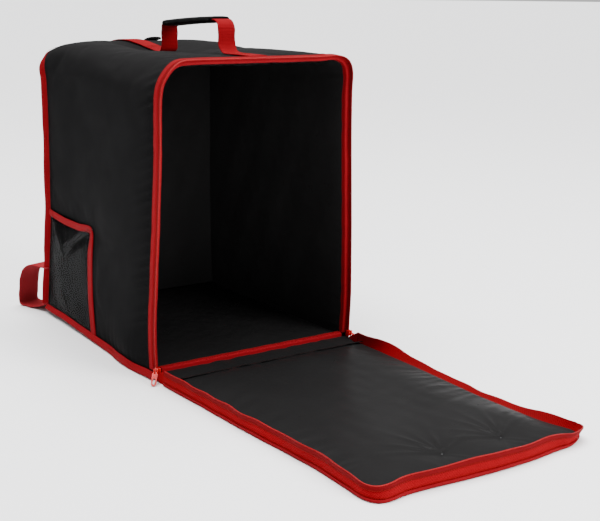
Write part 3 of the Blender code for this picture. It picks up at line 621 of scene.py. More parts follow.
def settle(grid, held, pressure, slack, reach, coarser=2, frames=18):
    """Lets a panel find its own folds between its seams, by a cloth run; gives the grid's new points."""
    pick_rows = np.linspace(0, grid.shape[0] - 1, grid.shape[0] // coarser).round().astype(int)
    pick_columns = np.linspace(0, grid.shape[1] - 1, grid.shape[1] // coarser).round().astype(int)
    coarse = grid[pick_rows][:, pick_columns]
    held = held[pick_rows][:, pick_columns]
    rows, columns = coarse.shape[:2]
    faces, _ = patch(rows, columns, np.arange(rows), np.arange(columns))
    mesh = bpy.data.meshes.new("settling")
    mesh.from_pydata(coarse.reshape(-1, 3).tolist(), [], faces.tolist())
    thing = bpy.data.objects.new("settling", mesh)
    scene = bpy.context.scene
    scene.collection.objects.link(thing)
    group = thing.vertex_groups.new(name="held")
    level = np.round(np.clip(held, 0, 1).ravel() * 10).astype(int)
    for step in range(1, 11):
        group.add(np.flatnonzero(level == step).tolist(), step / 10, "REPLACE")
    cloth = thing.modifiers.new("settle", "CLOTH")
    rules = cloth.settings
    rules.quality = 6
    rules.mass = 0.12
    rules.tension_stiffness = rules.compression_stiffness = 12
    rules.shear_stiffness = 4
    rules.bending_stiffness = 0.02
    rules.air_damping = 2
    rules.vertex_group_mass = "held"
    rules.use_pressure = True
    rules.uniform_pressure_force = pressure
    rules.shrink_min = -slack
    rules.effector_weights.gravity = 0
    cloth.collision_settings.use_collision = False
    cloth.point_cache.frame_end = frames
    for number in range(1, frames + 1):
        scene.frame_set(number)
    view = bpy.context.evaluated_depsgraph_get()
    found = np.empty(rows * columns * 3, np.float32)
    thing.evaluated_get(view).data.vertices.foreach_get("co", found)
    bpy.data.objects.remove(thing)
    bpy.data.meshes.remove(mesh)
    scene.frame_set(1)
    move = found.reshape(coarse.shape).astype(float) - coarse
    far = np.linalg.norm(move, axis=-1, keepdims=True) + 1e-9
    move = move / far * reach * np.tanh(far / reach)
    move = even_rows(even_rows(move, grid.shape[0]).transpose(1, 0, 2), grid.shape[1]).transpose(1, 0, 2)
    return grid + move


# How the soft bag departs from the straight frame

FRONT_LEFT = line_through(
    (0, -0.0030), (0.0165, -0.0036), (0.045, -0.0060), (0.08, -0.0070), (0.14, -0.0042), (0.22, 0.0002),
    (0.29, 0.0036), (0.36, 0.0062), (0.4365, 0.0060), (0.47, 0.0100), (0.50, 0.0120), smooth=0.012)
FRONT_RIGHT = line_through(
    (0, 0), (0.0165, 0.0008), (0.08, 0.0040), (0.20, 0.0020), (0.36, -0.0030), (0.4365, -0.0040),
    (0.50, -0.0070), smooth=0.012)
BACK_LEFT = line_through(
    (0, 0.0040), (0.08, 0.0085), (0.18, 0.0145), (0.35, 0.0155), (0.43, 0.0140), (0.465, 0.0080),
    (0.485, 0.0000), (0.50, -0.0010), smooth=0.008)
BACK_RIGHT = line_through((0, -0.0030), (0.10, -0.0060), (0.20, -0.0080), (0.50, -0.0080))


def sag(x, y):
    """How far the top hangs through between the handle's legs."""
    return 0.0085 * np.exp(-((x - 0.005) / 0.085) ** 2) * ease(-0.09, 0.04, y) * ease(0.19, 0.10, y)


def soften(points):
    """The bag's slack: bowed at the mouth, narrower behind, its top hanging, one bottom corner lifted."""
    p = np.array(points, float)
    x, y, z = p[:, 0], p[:, 1], p[:, 2]
    mouth = 1 - ease(-0.215, 0.17, y)
    side = np.clip(x / HALF, -1.05, 1.05)
    left, right = np.clip(-side, 0, 1.05), np.clip(side, 0, 1.05)
    p[:, 0] += left * (FRONT_LEFT(z) * mouth + BACK_LEFT(z) * (1 - mouth))
    p[:, 0] += right * (FRONT_RIGHT(z) * mouth + BACK_RIGHT(z) * (1 - mouth))
    p[:, 0] -= left * 0.0062 * np.exp(-((y + 0.130) / 0.055) ** 2) * (1 - ease(0.02, 0.10, z))
    near_left = np.exp(-((x + 0.158) ** 2 + (z - 0.462) ** 2) / 0.030 ** 2) * mouth
    near_right = np.exp(-((x - 0.168) ** 2 + (z - 0.470) ** 2) / 0.027 ** 2) * mouth
    p[:, 0] += 0.0035 * near_left + 0.0055 * near_right
    p[:, 2] += 0.0060 * near_right - 0.0025 * near_left - sag(x, y) * ease(0.40, 0.47, z)
    p[:, 2] += 0.0048 * ease(-0.04, -0.17, x) * ease(-0.02, 0.20, y) * (1 - ease(0.004, 0.12, z))
    return p


def crown(x, y):
    """How far the padded top stands above the frame: a hump at the back and little in front."""
    across = np.clip(1 - np.abs(x / (HALF - 0.004)) ** 4, 0, 1)
    front = past(y - BINDING_FRONT - BINDING_WIDTH - 0.001)
    back = past(SHELL_BACK - 0.001 - y)
    hump = 0.0125 * ease(0.020, 0.125, y + 0.25 * past(-x - 0.03)) * rise(back, 0.014)
    fore = 0.0036 * rise(front, 0.050) * (1 - ease(0.00, 0.10, y))
    valley = np.exp(-((x + 0.02) / 0.055) ** 2) * ease(0.185, 0.09, y)
    return across * (hump + fore) * (1 - 0.9 * valley)


def side_bulge(y, z):
    """How far a side panel stands out between its seams."""
    front = past(y - BINDING_FRONT - BINDING_WIDTH - 0.001)
    back = past(SHELL_BACK - 0.001 - y)
    low = past(z - 0.012)
    high = past(TOP - CORNER * 0.6 - z)
    return (0.0030 * rise(front, 0.030) * rise(back, 0.030)
            * rise(low, 0.035) * rise(high, 0.05))


def wall_depth(y):
    """How thick the padded wall is: it is pinched where the mouth is bound."""
    return PINCHED_WALL + (WALL - PINCHED_WALL) * rise(past(y - BINDING_FRONT - 0.004), 0.014)


SEAM_PUCKER = ripple(11, 0.009, 0.024, 9)
SEAM_PUCKER_BACK = ripple(12, 0.010, 0.028, 9)
DRAPE = field(13, 0.10, 0.24, 8)
FINE = field(14, 0.030, 0.065, 10)


def puckers(distance, wave, depth, reach):
    """Short folds that start at a seam and die out in the panel."""
    return depth * np.exp(-distance / reach) * rise(distance, 0.0015) * wave


def wrap_height(s, y, base):
    """The wrap's outer surface above the frame, along the arch and along the depth."""
    x, z = base[:, 0][:, None], base[:, 2][:, None]
    total = s[-1]
    side = side_bulge(y, np.minimum(z, TOP))
    on_top = ease(TOP - CORNER, TOP - 0.004, z)
    height = side * (1 - on_top) + crown(x, y) * on_top
    front = past(y - BINDING_FRONT - BINDING_WIDTH)
    back = past(SHELL_BACK - y)
    foot = past(np.minimum(s, total - s) - 0.010)[:, None]
    inside = rise(front, 0.02) * rise(back, 0.02) * rise(foot, 0.02)
    strap = np.exp(-(x / 0.026) ** 2) * on_top
    free = inside * (1 - 0.95 * strap)
    height = height + free * (0.0006 * DRAPE(s[:, None], y) + 0.00012 * FINE(s[:, None], y * 0.6))
    calm = 1 - strap
    height = height + calm * puckers(front, SEAM_PUCKER(s[:, None] + 0.35 * front), 0.0019, 0.020)
    height = height + calm * puckers(back, SEAM_PUCKER_BACK(s[:, None] - 0.3 * back), 0.0010, 0.014)
    height = height + puckers(foot, SEAM_PUCKER(y + 0.2 * foot), 0.0009, 0.015)
    return height


# Walls

def make_wrap():
    """The left side, top and right side: one padded panel and its liner."""
    base, out, s = arch(WALL_BOTTOM, 0.0045)
    y = np.linspace(PANEL_FRONT, SHELL_BACK, 96)
    height = wrap_height(s, y[None], base)
    outer = base[:, None] + out[:, None] * height[..., None] + Y * y[None, :, None]
    inner = base[:, None] - out[:, None] * (0.45 * wall_depth(y))[None, :, None] + Y * y[None, :, None]
    held = np.zeros(outer.shape[:2])
    held[:, y < BINDING_FRONT + BINDING_WIDTH + 0.001], held[:, y > SHELL_BACK - 0.003] = 1, 1
    held[np.minimum(s, s[-1] - s) < 0.012] = 1
    on_top = base[:, 2] > TOP - 0.004
    held[on_top & (np.abs(base[:, 0]) < 0.045)] = 1
    low_left = (base[:, 0] < 0) & (base[:, 2] < POCKET_HIGH + 0.006)
    held[np.ix_(low_left, y > POCKET_FRONT - 0.020)] = 1
    outer = settle(outer, held, 0.8, 0.004, 0.0026, 1, 12)
    panel = slab("wrap_panel", outer, inner, s, y - y[0], NYLON, soften)
    wear(panel, "bag", "wrap_cover", "wrap_foam")

    wave = field(21, 0.05, 0.16, 9)
    small = field(22, 0.018, 0.045, 9)
    front = past(y - BINDING_FRONT - BINDING_WIDTH)[None]
    back = past(0.2070 - y)[None]
    foot = past(np.minimum(s, s[-1] - s) - 0.013)[:, None]
    inside = rise(front, 0.02) * rise(back, 0.02) * rise(foot, 0.02)
    swell = inside * (0.0018 + 0.0009 * wave(s[:, None], y[None]) + 0.0003 * small(s[:, None], y[None]))
    swell = swell + puckers(front, SEAM_PUCKER(s[:, None]), 0.0007, 0.018)
    face = base[:, None] - out[:, None] * (wall_depth(y)[None] + swell)[..., None] + Y * y[None, :, None]
    hidden = face + out[:, None] * 0.0006
    lining = slab("wrap_liner", face, hidden, s, y - y[0], LINER, soften)
    wear(lining, "bag", "wrap_lining")


def make_back():
    """The back's padded panel and its liner."""
    x, z = rounded_grid(84, 108, HALF, WALL_BOTTOM, TOP, CORNER)
    edge_x = past(HALF - 0.002 - np.abs(x))
    edge_z = past(np.minimum(z - 0.012, TOP - 0.002 - z))
    inside = rise(edge_x, 0.035) * rise(edge_z, 0.035)
    wave, small = field(31, 0.09, 0.22, 8), field(32, 0.030, 0.06, 9)
    bulge = inside * (0.0052 + 0.0010 * wave(x, z) + 0.0003 * small(x, z))
    edge = np.minimum(edge_x, edge_z)
    along = np.where(edge_x < edge_z, z, x)
    bulge = bulge + puckers(edge, SEAM_PUCKER_BACK(along), 0.0009, 0.014)
    outer = join(x, BACK + bulge, z)
    inner = join(x, BACK - 0.0010, z)
    held = np.zeros(x.shape)
    held[edge < 0.0005] = 1
    outer = settle(outer, held, 0.8, 0.004, 0.0030, 1, 12)
    us, vs = z[:, 42] - z[0, 42], x[0] - x[0, 0]
    panel = slab("back_panel", outer, inner, us, vs, NYLON, soften)
    wear(panel, "bag", "back_cover", "back_foam")

    half = HALF - WALL - GAP
    x, z = rounded_grid(76, 100, half, BASE_TOP + 0.0005, TOP - WALL - GAP, CORNER - WALL)
    edge_x = past(half - np.abs(x))
    edge_z = past(np.minimum(z - BASE_TOP, TOP - WALL - z))
    inside = rise(edge_x, 0.03) * rise(edge_z, 0.03)
    wave, small = field(33, 0.06, 0.16, 9), field(34, 0.02, 0.045, 9)
    swell = inside * (0.0030 + 0.0010 * wave(x, z) + 0.0004 * small(x, z))
    face = join(x, 0.2073 - swell, z)
    hidden = face + Y * 0.0009
    us, vs = z[:, 38] - z[0, 38], x[0] - x[0, 0]
    lining = slab("back_liner", face, hidden, us, vs, LINER, soften)
    wear(lining, "bag", "back_lining")


def make_base():
    """The sheet under the bag, the stiffener board and the padded liner over it."""
    x, y = np.meshgrid(np.linspace(-HALF, HALF, 60), np.linspace(HINGE[1], BACK, 80))
    ripple_low = field(41, 0.05, 0.12, 8)
    under = join(x, y, 0)
    over = join(x, y, 0.0013 + 0.0002 * ripple_low(x, y))
    us, vs = y[:, 0] - y[0, 0], x[0] - x[0, 0]
    sheet = slab("base_sheet", over, under, us, vs, NYLON, soften)
    wear(sheet, "bag", "base_cover")

    x, y = np.meshgrid(np.linspace(-0.1690, 0.1690, 40), np.linspace(-0.2060, 0.2060, 46))
    over = join(x, y, 0.0046)
    under = join(x, y, 0.0017)
    us, vs = y[:, 0] - y[0, 0], x[0] - x[0, 0]
    stiff = slab("base_stiffener", over, under, us, vs, BOARD, soften)
    wear(stiff, "bag", "base_board")

    share, y = np.meshgrid(np.linspace(-1, 1, 84), np.linspace(PANEL_FRONT, BASE_BACK, 96))
    half = HALF - wall_depth(y) - GAP - 0.0012
    x = share * half
    edge = np.minimum(past(half - np.abs(x)), past(BASE_BACK - y))
    edge = np.minimum(edge, past(y - PANEL_FRONT - 0.010))
    inside = rise(edge, 0.02)
    wave, small = field(42, 0.06, 0.15, 9), field(43, 0.02, 0.045, 9)
    face = join(x, y, 0.0136 + inside * (0.0012 + 0.0007 * wave(x, y) + 0.0003 * small(x, y)))
    hidden = face - Z * 0.0010
    us, vs = y[:, 0] - y[0, 0], x[50] - x[50, 0]
    lining = slab("base_liner", face, hidden, us, vs, LINER, soften)
    wear(lining, "bag", "base_lining", "base_foam")


# Bindings

def wobble(s, seed, amount):
    """Slow unevenness of a sewn tape, one offset in each direction of its section."""
    wide, high = ripple(seed, 0.04, 0.13), ripple(seed + 1, 0.03, 0.10)
    return join(wide(s) * amount, high(s) * amount * 0.5)[:, None]


def make_front_binding():
    """The binding folded over the mouth's edge, and the one over the base's front edge."""
    base, out, s = arch(FRONT_TAPE_FOOT, 0.004)
    outer, inner = 0.0008, -(PINCHED_WALL + 0.0012)
    y0, y1 = BINDING_FRONT + 0.0005, BINDING_FRONT + BINDING_WIDTH
    corner = 0.0022
    turn = np.linspace(0, math.pi / 2, 5)
    line = [(y1 - 0.002 * k, outer) for k in range(4)]
    line += [(y0 + corner * (1 - math.sin(a)), outer - corner * (1 - math.cos(a))) for a in turn]
    line += [(y0, (outer + inner) / 2)]
    line += [(y0 + corner * (1 - math.cos(a)), inner + corner * (1 - math.sin(a))) for a in turn]
    line += [(y1 - 0.002 * k, inner) for k in (3, 2, 1, 0)]
    profile = tape_outline(line, 0.0010)
    sections = np.repeat(profile[None], len(s), axis=0)
    sections = sections + wobble(s, 51, 0.0003)
    tape = sweep("front_tape", base, Y, out, sections, BINDING, soften)
    wear(tape, "bag", "front_binding")
    row = base + Y * (y1 - 0.0022) + out * (outer + 0.0006)
    sew("front_tape_thread", row, out, RED_THREAD, "bag", soften)

    half = HALF - PINCHED_WALL - 0.0024
    x = np.linspace(-half, half, 70)
    path = join(x, 0, 0)
    low, high = WALL_BOTTOM + 0.0004, BASE_TOP + 0.0012
    line = [(y0, low), (y0, low + 0.004), (y0, high - corner)]
    line += [(y0 + corner * (1 - math.cos(a)), high - corner * (1 - math.sin(a))) for a in turn[1:]]
    line += [(y1 - 0.002 * k, high) for k in (3, 2, 1, 0)]
    sections = np.repeat(tape_outline(line, 0.0010)[None], len(x), axis=0) + wobble(x, 53, 0.0003)
    tape = sweep("base_front_tape", path, Y, Z, sections, BINDING)
    wear(tape, "bag", "base_front_binding")
    row = path + Y * (y1 - 0.0022) + Z * (high + 0.0006)
    sew("base_tape_thread", row, np.tile(Z, (len(x), 1)), RED_THREAD, "bag")


def flange_line(width, tilt, root_side, root_lift):
    """The centre line of a bound seam that stands out of a corner; tilt turns it from side towards lift."""
    share = np.linspace(0, 1, 8)
    cosine, sine = math.cos(tilt), math.sin(tilt)
    return join(root_side + share * width * cosine, root_lift + share * width * sine)


def fold_flare(share):
    """A folded tape is thickest at its fold and pinched along its seam."""
    return 0.55 + 0.45 * ease(0.10, 0.40, share) - 0.22 * np.exp(-((share - 0.38) / 0.07) ** 2)


def make_back_binding():
    """The bound seam round the back, which lies over towards the top there."""
    base, out, s = arch(SEAM_TOP + GAP, 0.004)
    on_top = ease(TOP - 1.1 * CORNER, TOP - 0.3 * CORNER, base[:, 2])
    wave = ripple(61, 0.05, 0.14)
    tilt = math.radians(45) * (1 - on_top) - math.radians(12) * on_top + 0.10 * wave(s)
    sections = []
    for angle in tilt:
        line = flange_line(0.0130, angle, BACK - 0.0009, -0.0011)
        sections.append(tape_outline(line, 0.0032, fold_flare))
    sections = np.array(sections) + wobble(s, 62, 0.0003)
    tape = sweep("back_tape", base, Y, out, sections, BINDING, soften)
    wear(tape, "bag", "back_binding")
    for word, sign in (("outer", 1), ("inner", -1)):
        along = join(np.cos(tilt), np.sin(tilt))
        across = join(-np.sin(tilt), np.cos(tilt)) * sign
        spot = along * 0.0045 + across * 0.0013
        row = base + Y * (BACK + 0.0004 + spot[:, :1]) + out * (0.0002 + spot[:, 1:])
        normal = Y * across[:, :1] + out * across[:, 1:]
        sew("back_tape_thread_" + word, row, normal, RED_THREAD, "bag", soften)


def base_path(step=0.004):
    """Round the bottom: left side, back and right side, with small round corners."""
    radius = 0.006
    half, back = HALF + 0.0016, BACK + 0.0016
    straight = np.arange(BINDING_FRONT, back - radius, step)
    angles = np.linspace(0, math.pi / 2, 6)
    left = [(-half, y, -1, 0) for y in straight]
    left += [(-half + radius * (1 - math.cos(a)), back - radius * (1 - math.sin(a)),
              -math.cos(a), math.sin(a)) for a in angles]
    across = [(x, back, 0, 1) for x in np.arange(-half + radius + step, 0, step)]
    half_way = np.array(left + across)
    mirrored = half_way[::-1] * (-1, 1, -1, 1)
    data = np.concatenate([half_way, [(0, back, 0, 1)], mirrored])
    return join(data[:, 0], data[:, 1], 0), join(data[:, 2], data[:, 3], 0)


def make_base_binding():
    """The bound seam round the bottom; it narrows towards the back."""
    base, out = base_path()
    s = lengths(base)
    wave = ripple(71, 0.05, 0.15)
    lift = 0.0004 * wave(s)
    sections = []
    for rise in lift:
        line = flange_line(0.0122, math.radians(-72), 0.0004, 0.0128 + rise)
        sections.append(tape_outline(line, 0.0032, fold_flare))
    sections = np.array(sections) + wobble(s, 72, 0.0002)
    narrow = 0.22 * ease(-0.10, 0.12, base[:, 1])[:, None]
    sections[..., 1] += narrow * past(0.0128 - sections[..., 1])
    tape = sweep("base_tape", base, out, Z, sections, BINDING, soften)
    wear(tape, "bag", "base_binding")
    cosine, sine = math.cos(math.radians(-72)), math.sin(math.radians(-72))
    spot = np.array((cosine, sine)) * 0.0046 + np.array((-sine, cosine)) * 0.0013
    row = base + out * (0.0004 + spot[0]) + Z * (0.0128 + spot[1] + lift)[:, None]
    normal = out * -sine + Z * cosine
    sew("base_seam_thread", row, normal, RED_THREAD, "bag", soften)


# Zipper

def coil_sections(count, width, height, pitch_points):
    """Ribbed round sections, one tooth every few points, that read as a nylon coil."""
    angles = np.linspace(0, 2 * math.pi, 8, endpoint=False) + math.pi / 8
    swell = 0.66 + 0.34 * np.abs(np.sin(math.pi * np.arange(count) / pitch_points))
    return join(np.cos(angles)[None] * width / 2 * (0.8 + 0.2 * swell[:, None]),
                np.sin(angles)[None] * height / 2 * swell[:, None])


def make_body_zipper():
    """The bag's half of the zipper: tape, thread and coil."""
    base, out, s = arch(0.0035, 0.0045)
    low, high = FRONT + 0.0034, BINDING_FRONT + 0.0012
    profile = tape_outline(flat_line(low, high), 0.0009) + np.array((0, -0.0007))
    tape = sweep("mouth_zip_tape", base, Y, out, profile, ZIP_TAPE, soften)
    wear(tape, "bag", "body_zip_tape")
    row = base + Y * (BINDING_FRONT - 0.0020) + out * -0.0002
    sew("mouth_zip_thread", row, out, RED_THREAD, "bag", soften)
    base, out, s = arch(0.0035, 0.00045)
    sections = coil_sections(len(s), 0.0024, 0.0022, 4) + np.array((FRONT + 0.0020, -0.0007))
    coil = sweep("mouth_zip_coil", base, Y, out, sections, COIL, soften)
    wear(coil, "bag", "body_zip_coil")


def rounded_copy(node, name, body, width, aside, turn=0.0, pivot=(0, 0, 0)):
    """A node's own shape, turned about an upright line, its edges rounded so that they catch light."""
    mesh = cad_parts[node].data.copy()
    mesh.name = name
    work = bmesh.new()
    work.from_mesh(mesh)
    bmesh.ops.remove_doubles(work, verts=work.verts, dist=0.000005)
    bmesh.ops.dissolve_limit(work, angle_limit=math.radians(2), verts=work.verts, edges=work.edges)
    sharp = [edge for edge in work.edges if len(edge.link_faces) == 2
             and edge.calc_face_angle(0) > math.radians(28)]
    bmesh.ops.bevel(work, geom=sharp, offset=width, segments=3, profile=0.5, affect="EDGES",
                    clamp_overlap=True, offset_type="OFFSET")
    bmesh.ops.recalc_face_normals(work, faces=work.faces)
    bmesh.ops.rotate(work, cent=pivot, matrix=Matrix.Rotation(turn, 3, "Z"), verts=work.verts)
    bmesh.ops.translate(work, verts=work.verts, vec=(aside, 0, 0))
    work.to_mesh(mesh)
    work.free()
    wear(finish_piece(name, mesh, ENAMEL, 45), body, node)


PULL_TURN = math.radians(54)
PULL_X = 0.1862
PULL_Z = 0.0165


def make_sliders():
    """Both sliders, and their pulls turned as the photograph shows the left one."""
    for word, sign, aside in (("left", -1, FRONT_LEFT(0)), ("right", 1, 0.0)):
        aside = float(aside)
        rounded_copy("zip_slider_" + word, "slider_" + word + "_body", "slider_" + word, 0.00028, aside)
        rounded_copy("zip_pull_" + word, "slider_" + word + "_pull", "pull_" + word, 0.00030, aside,
                     -sign * PULL_TURN, (sign * PULL_X, FRONT, PULL_Z))


# Flap

BAND_WAVE = ripple(81, 0.06, 0.16)
BAND_SWAY = ripple(82, 0.05, 0.13)
FLAP_LEFT = line_through(
    (-0.7275, -0.0050), (-0.705, 0.0040), (-0.670, 0.0080), (-0.60, 0.0100), (-0.55, 0.0075),
    (-0.48, 0.0030), (-0.40, 0.0002), (-0.34, -0.0010), (-0.30, -0.0030), (-0.26, -0.0046),
    (-0.2443, -0.0046), smooth=0.008)
FLAP_RIGHT = line_through(
    (-0.7275, 0.0040), (-0.700, -0.0030), (-0.65, -0.0090), (-0.59, -0.0110), (-0.54, -0.0115),
    (-0.48, -0.0080), (-0.40, -0.0035), (-0.2443, 0), smooth=0.010)
FLAP_END = line_through(
    (-0.1825, -0.0115), (-0.160, -0.0055), (-0.13, -0.0005), (-0.10, -0.0012), (-0.05, -0.0070),
    (0.00, -0.0108), (0.05, -0.0125), (0.10, -0.0100), (0.15, -0.0060), (0.1825, -0.0020), smooth=0.010)


def flap_plan(points):
    """How the lying flap's outline departs from a straight one, seen from above."""
    p = np.array(points, float)
    x, y = p[:, 0], p[:, 1]
    side = np.clip(x / HALF, -1.03, 1.03)
    along = ease(FLAP_NEAR - 0.20, FLAP_FAR, y)
    p[:, 0] += np.clip(-side, 0, 2) ** 2 * FLAP_LEFT(y) + np.clip(side, 0, 2) ** 2 * FLAP_RIGHT(y)
    p[:, 1] += along ** 2 * FLAP_END(x)
    corner = np.exp(-((x - 0.170) ** 2 + (y + 0.714) ** 2) / 0.027 ** 2)
    p[:, 0] += 0.0085 * corner
    p[:, 1] -= 0.0035 * corner
    return p


RIGHT_LEAN = line_through(
    (-0.7275, 0.20), (-0.705, 0.45), (-0.67, 0.95), (-0.62, 1.38), (-0.58, 1.52), (-0.42, 1.50),
    (-0.35, 1.20), (-0.29, 0.40), (-0.262, 0), (-0.2443, 0), smooth=0.008)


def flap_shape(points):
    """How the soft band round the flap stands: wavy, leaned out on the right, low at the far corners."""
    p = np.array(points, float)
    x, y, z = p[:, 0], p[:, 1], p[:, 2]
    up = np.clip(z / BAND_TOP, 0, 1.1)
    right, left = ease(0.142, HALF - 0.002, x), ease(-0.142, -HALF, x)
    far = ease(FLAP_FAR + 0.05, FLAP_FAR + 0.004, y)
    away = ease(FLAP_NEAR, FLAP_NEAR - 0.10, y)
    along = np.where(far > 0.5, x, y)
    near_corner = np.exp(-((x + 0.172) ** 2 + (y - FLAP_FAR - 0.010) ** 2) / 0.040 ** 2)
    far_corner = np.exp(-((x - 0.174) ** 2 + (y - FLAP_FAR - 0.010) ** 2) / 0.046 ** 2)
    grow = 1 + away * (0.035 * BAND_WAVE(along) + 0.06 * far - 0.26 * near_corner - 0.40 * far_corner)
    z = z * grow
    sway = away * up * 0.0012 * BAND_SWAY(along + 0.3)
    angle = RIGHT_LEAN(y) * right * away
    aside = x - HALF
    p[:, 0] = np.where(right > 0, HALF + aside * np.cos(angle) + z * np.sin(angle), x) + sway * (right - left)
    p[:, 2] = np.where(right > 0, z * np.cos(angle) - aside * np.sin(angle) + 0.0018 * np.sin(angle), z)
    p[:, 2] = np.maximum(p[:, 2], 0.0001)
    p[:, 1] += -sway * far + up * up * away * (0.0025 * near_corner * far - 0.0050 * far_corner)
    plan = flap_plan(join(x, y, z))
    p[:, :2] += plan[:, :2] - join(x, y)
    return p


def liner_height(x, y):
    """The padded liner of the flap: pillowed, puckered along its seams and drawn down at the tacks."""
    edge_x = past(HALF - 0.0022 - np.abs(x))
    edge_far = past(y - FLAP_FAR - 0.0022)
    edge_near = past(FLAP_NEAR - y)
    edge = np.minimum(edge_x, edge_far)
    inside = rise(edge_x, 0.024) * rise(edge_far, 0.024) * rise(edge_near, 0.02)
    wave, small = field(91, 0.08, 0.20, 8), field(92, 0.028, 0.060, 10)
    height = 0.0078 + inside * (0.0066 + 0.0007 * wave(x, y) + 0.00016 * small(x, y))
    along = np.where(edge_x < edge_far, y, x)
    seam = ripple(93, 0.012, 0.030, 9)
    height = height + puckers(edge, seam(along + 0.3 * edge), 0.0003, 0.018)
    for index, (tack_x, tack_y) in enumerate(TACKS):
        dx, dy = x - tack_x, y - tack_y
        distance = np.hypot(dx, dy) + 0.0001
        angle = np.arctan2(dy, dx)
        pull = np.exp(-(distance / 0.018) ** 1.2)
        height = height * (1 - pull) + (LINER_TOP - 0.0003) * pull
        rng = np.random.default_rng(95 + index)
        for ray in range(9):
            heading = math.radians(20 + 140 * ray / 6 + rng.uniform(-7, 7)) if ray < 7 else \
                math.radians((235, 305)[ray - 7])
            length, tall = rng.uniform(0.016, 0.030), rng.uniform(0.0042, 0.0062)
            if ray >= 7:
                length, tall = 0.014, 0.0014
            turn = np.arctan2(np.sin(angle - heading), np.cos(angle - heading))
            off = distance * np.sin(turn)
            ahead = np.cos(turn) > 0
            width = 0.0012 + 0.070 * distance
            ridge = np.exp(-(off / width) ** 2) * np.exp(-distance / length) * rise(distance, 0.006)
            height = height + np.where(ahead, tall * ridge, 0)
    return height


def make_flap():
    """The flap's band with its zipper and binding, its cover, its padded liner and its tacks."""
    base, out, s = rim(0.004)
    low, high = 0.0013, BAND_TOP - 0.0026
    share = np.linspace(0, 1, 9)
    line = join(low + (high - low) * share, -0.0007 + 0.0011 * np.sin(share * math.pi))
    band = sweep("flap_band", base, Z, out, tape_outline(line, 0.0010), BAND, flap_shape)
    wear(band, "flap", "flap_zip_band")

    upper = tape_outline(flat_line(BAND_TOP - 0.0085, BAND_TOP - 0.0022, 5), 0.0007) + np.array((0, 0.0007))
    tape = sweep("flap_zip_tape", base, Z, out, upper, ZIP_TAPE, flap_shape)
    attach(tape, "flap")
    fine_base, fine_out, fine_s = rim(0.00045)
    sections = coil_sections(len(fine_s), 0.0024, 0.0022, 4) + np.array((BAND_TOP - 0.0017, -0.0006))
    coil = sweep("flap_coil", fine_base, Z, fine_out, sections, COIL, flap_shape)
    wear(coil, "flap", "flap_zip_coil")

    trim = tape_outline(flat_line(0.0007, 0.0052, 6, 0.0006), 0.0017) + np.array((0, 0.0010))
    sections = np.repeat(trim[None], len(s), axis=0) + wobble(s, 84, 0.0002) * (1, 0.5)
    piping = sweep("flap_edge_tape", base, Z, out, sections, BINDING, flap_shape)
    wear(piping, "flap", "flap_edge_binding")
    pinched_corner = (0.170, FLAP_FAR + 0.012)
    for word, height, stand in (("low", 0.0066, 0.0009), ("high", BAND_TOP - 0.0070, 0.0014)):
        row = base + Z * height + out * stand
        pinched = np.flatnonzero(np.hypot(*(row[:, :2] - pinched_corner).T) < 0.030)
        for side, part in (("left", slice(0, pinched[0])), ("right", slice(pinched[-1], None))):
            sew(f"flap_thread_{word}_{side}", row[part], out[part], RED_THREAD, "flap",
                flap_shape)

    x, y = rounded_grid(70, 90, HALF, FLAP_NEAR, FLAP_FAR, CORNER)
    slack = 0.0002 + 0.0006 * (1 + 0.9 * np.clip(field(94, 0.07, 0.20, 8)(x, y), -1, 1))
    over = join(x, y, slack + 0.0011)
    under = join(x, y, slack)
    us, vs = FLAP_NEAR - y[:, 35], x[0] - x[0, 0]
    sheet = slab("flap_sheet", over, under, us, vs, NYLON, flap_plan)
    wear(sheet, "flap", "flap_cover")

    x, y = rounded_grid(150, 196, HALF - 0.0021, FLAP_NEAR, FLAP_FAR + 0.0021, CORNER - 0.0021)
    top = join(x, y, liner_height(x, y))
    held = np.zeros(x.shape)
    held[0], held[-1], held[:, 0], held[:, -1] = 1, 1, 1, 1
    held[y > FLAP_NEAR - 0.018] = 1
    for tack_x, tack_y in TACKS:
        held[np.hypot(x - tack_x, y - tack_y) < 0.0060] = 1
    top = settle(top, held, 1.2, 0.0030, 0.0030)
    bottom = join(x, y, 0.0014)
    us, vs = FLAP_NEAR - y[:, 75], x[0] - x[0, 0]
    pad = slab("flap_pad", top, bottom, us, vs, LINER, flap_plan)
    wear(pad, "flap", "flap_foam", "flap_lining")

    for word, (tack_x, tack_y) in zip(("left", "right"), TACKS):
        make_tack("tack_" + word, tack_x, tack_y, "flap_tack_" + word)


def make_tack(name, x, y, node):
    """A lacquered rivet: a domed cap with a rolled rim on a small washer."""
    low = LINER_TOP - 0.0002
    profile = [(0.0, 0.0019), (0.0010, 0.0018), (0.0020, 0.0014), (0.0027, 0.0009), (0.0030, 0.0006),
               (0.0032, 0.0008), (0.0036, 0.0007), (0.0038, 0.0004), (0.0037, 0.0), (0.0012, -0.0002),
               (0.0012, -0.0070), (0.0, -0.0070)]
    mesh = bpy.data.meshes.new(name)
    work = bmesh.new()
    ring = [work.verts.new((radius, 0, low + z)) for radius, z in profile]
    edges = [work.edges.new(pair) for pair in zip(ring, ring[1:])]
    bmesh.ops.spin(work, geom=ring + edges, cent=(0, 0, 0), axis=(0, 0, 1), angle=2 * math.pi, steps=28,
                   use_merge=True)
    bmesh.ops.remove_doubles(work, verts=work.verts, dist=0.00001)
    bmesh.ops.recalc_face_normals(work, faces=work.faces)
    x, y, _ = flap_plan([(x, y, 0)])[0]
    bmesh.ops.translate(work, verts=work.verts, vec=(x, y, 0))
    work.to_mesh(mesh)
    work.free()
    wear(finish_piece(name, mesh, TACK, 55), "flap", node)


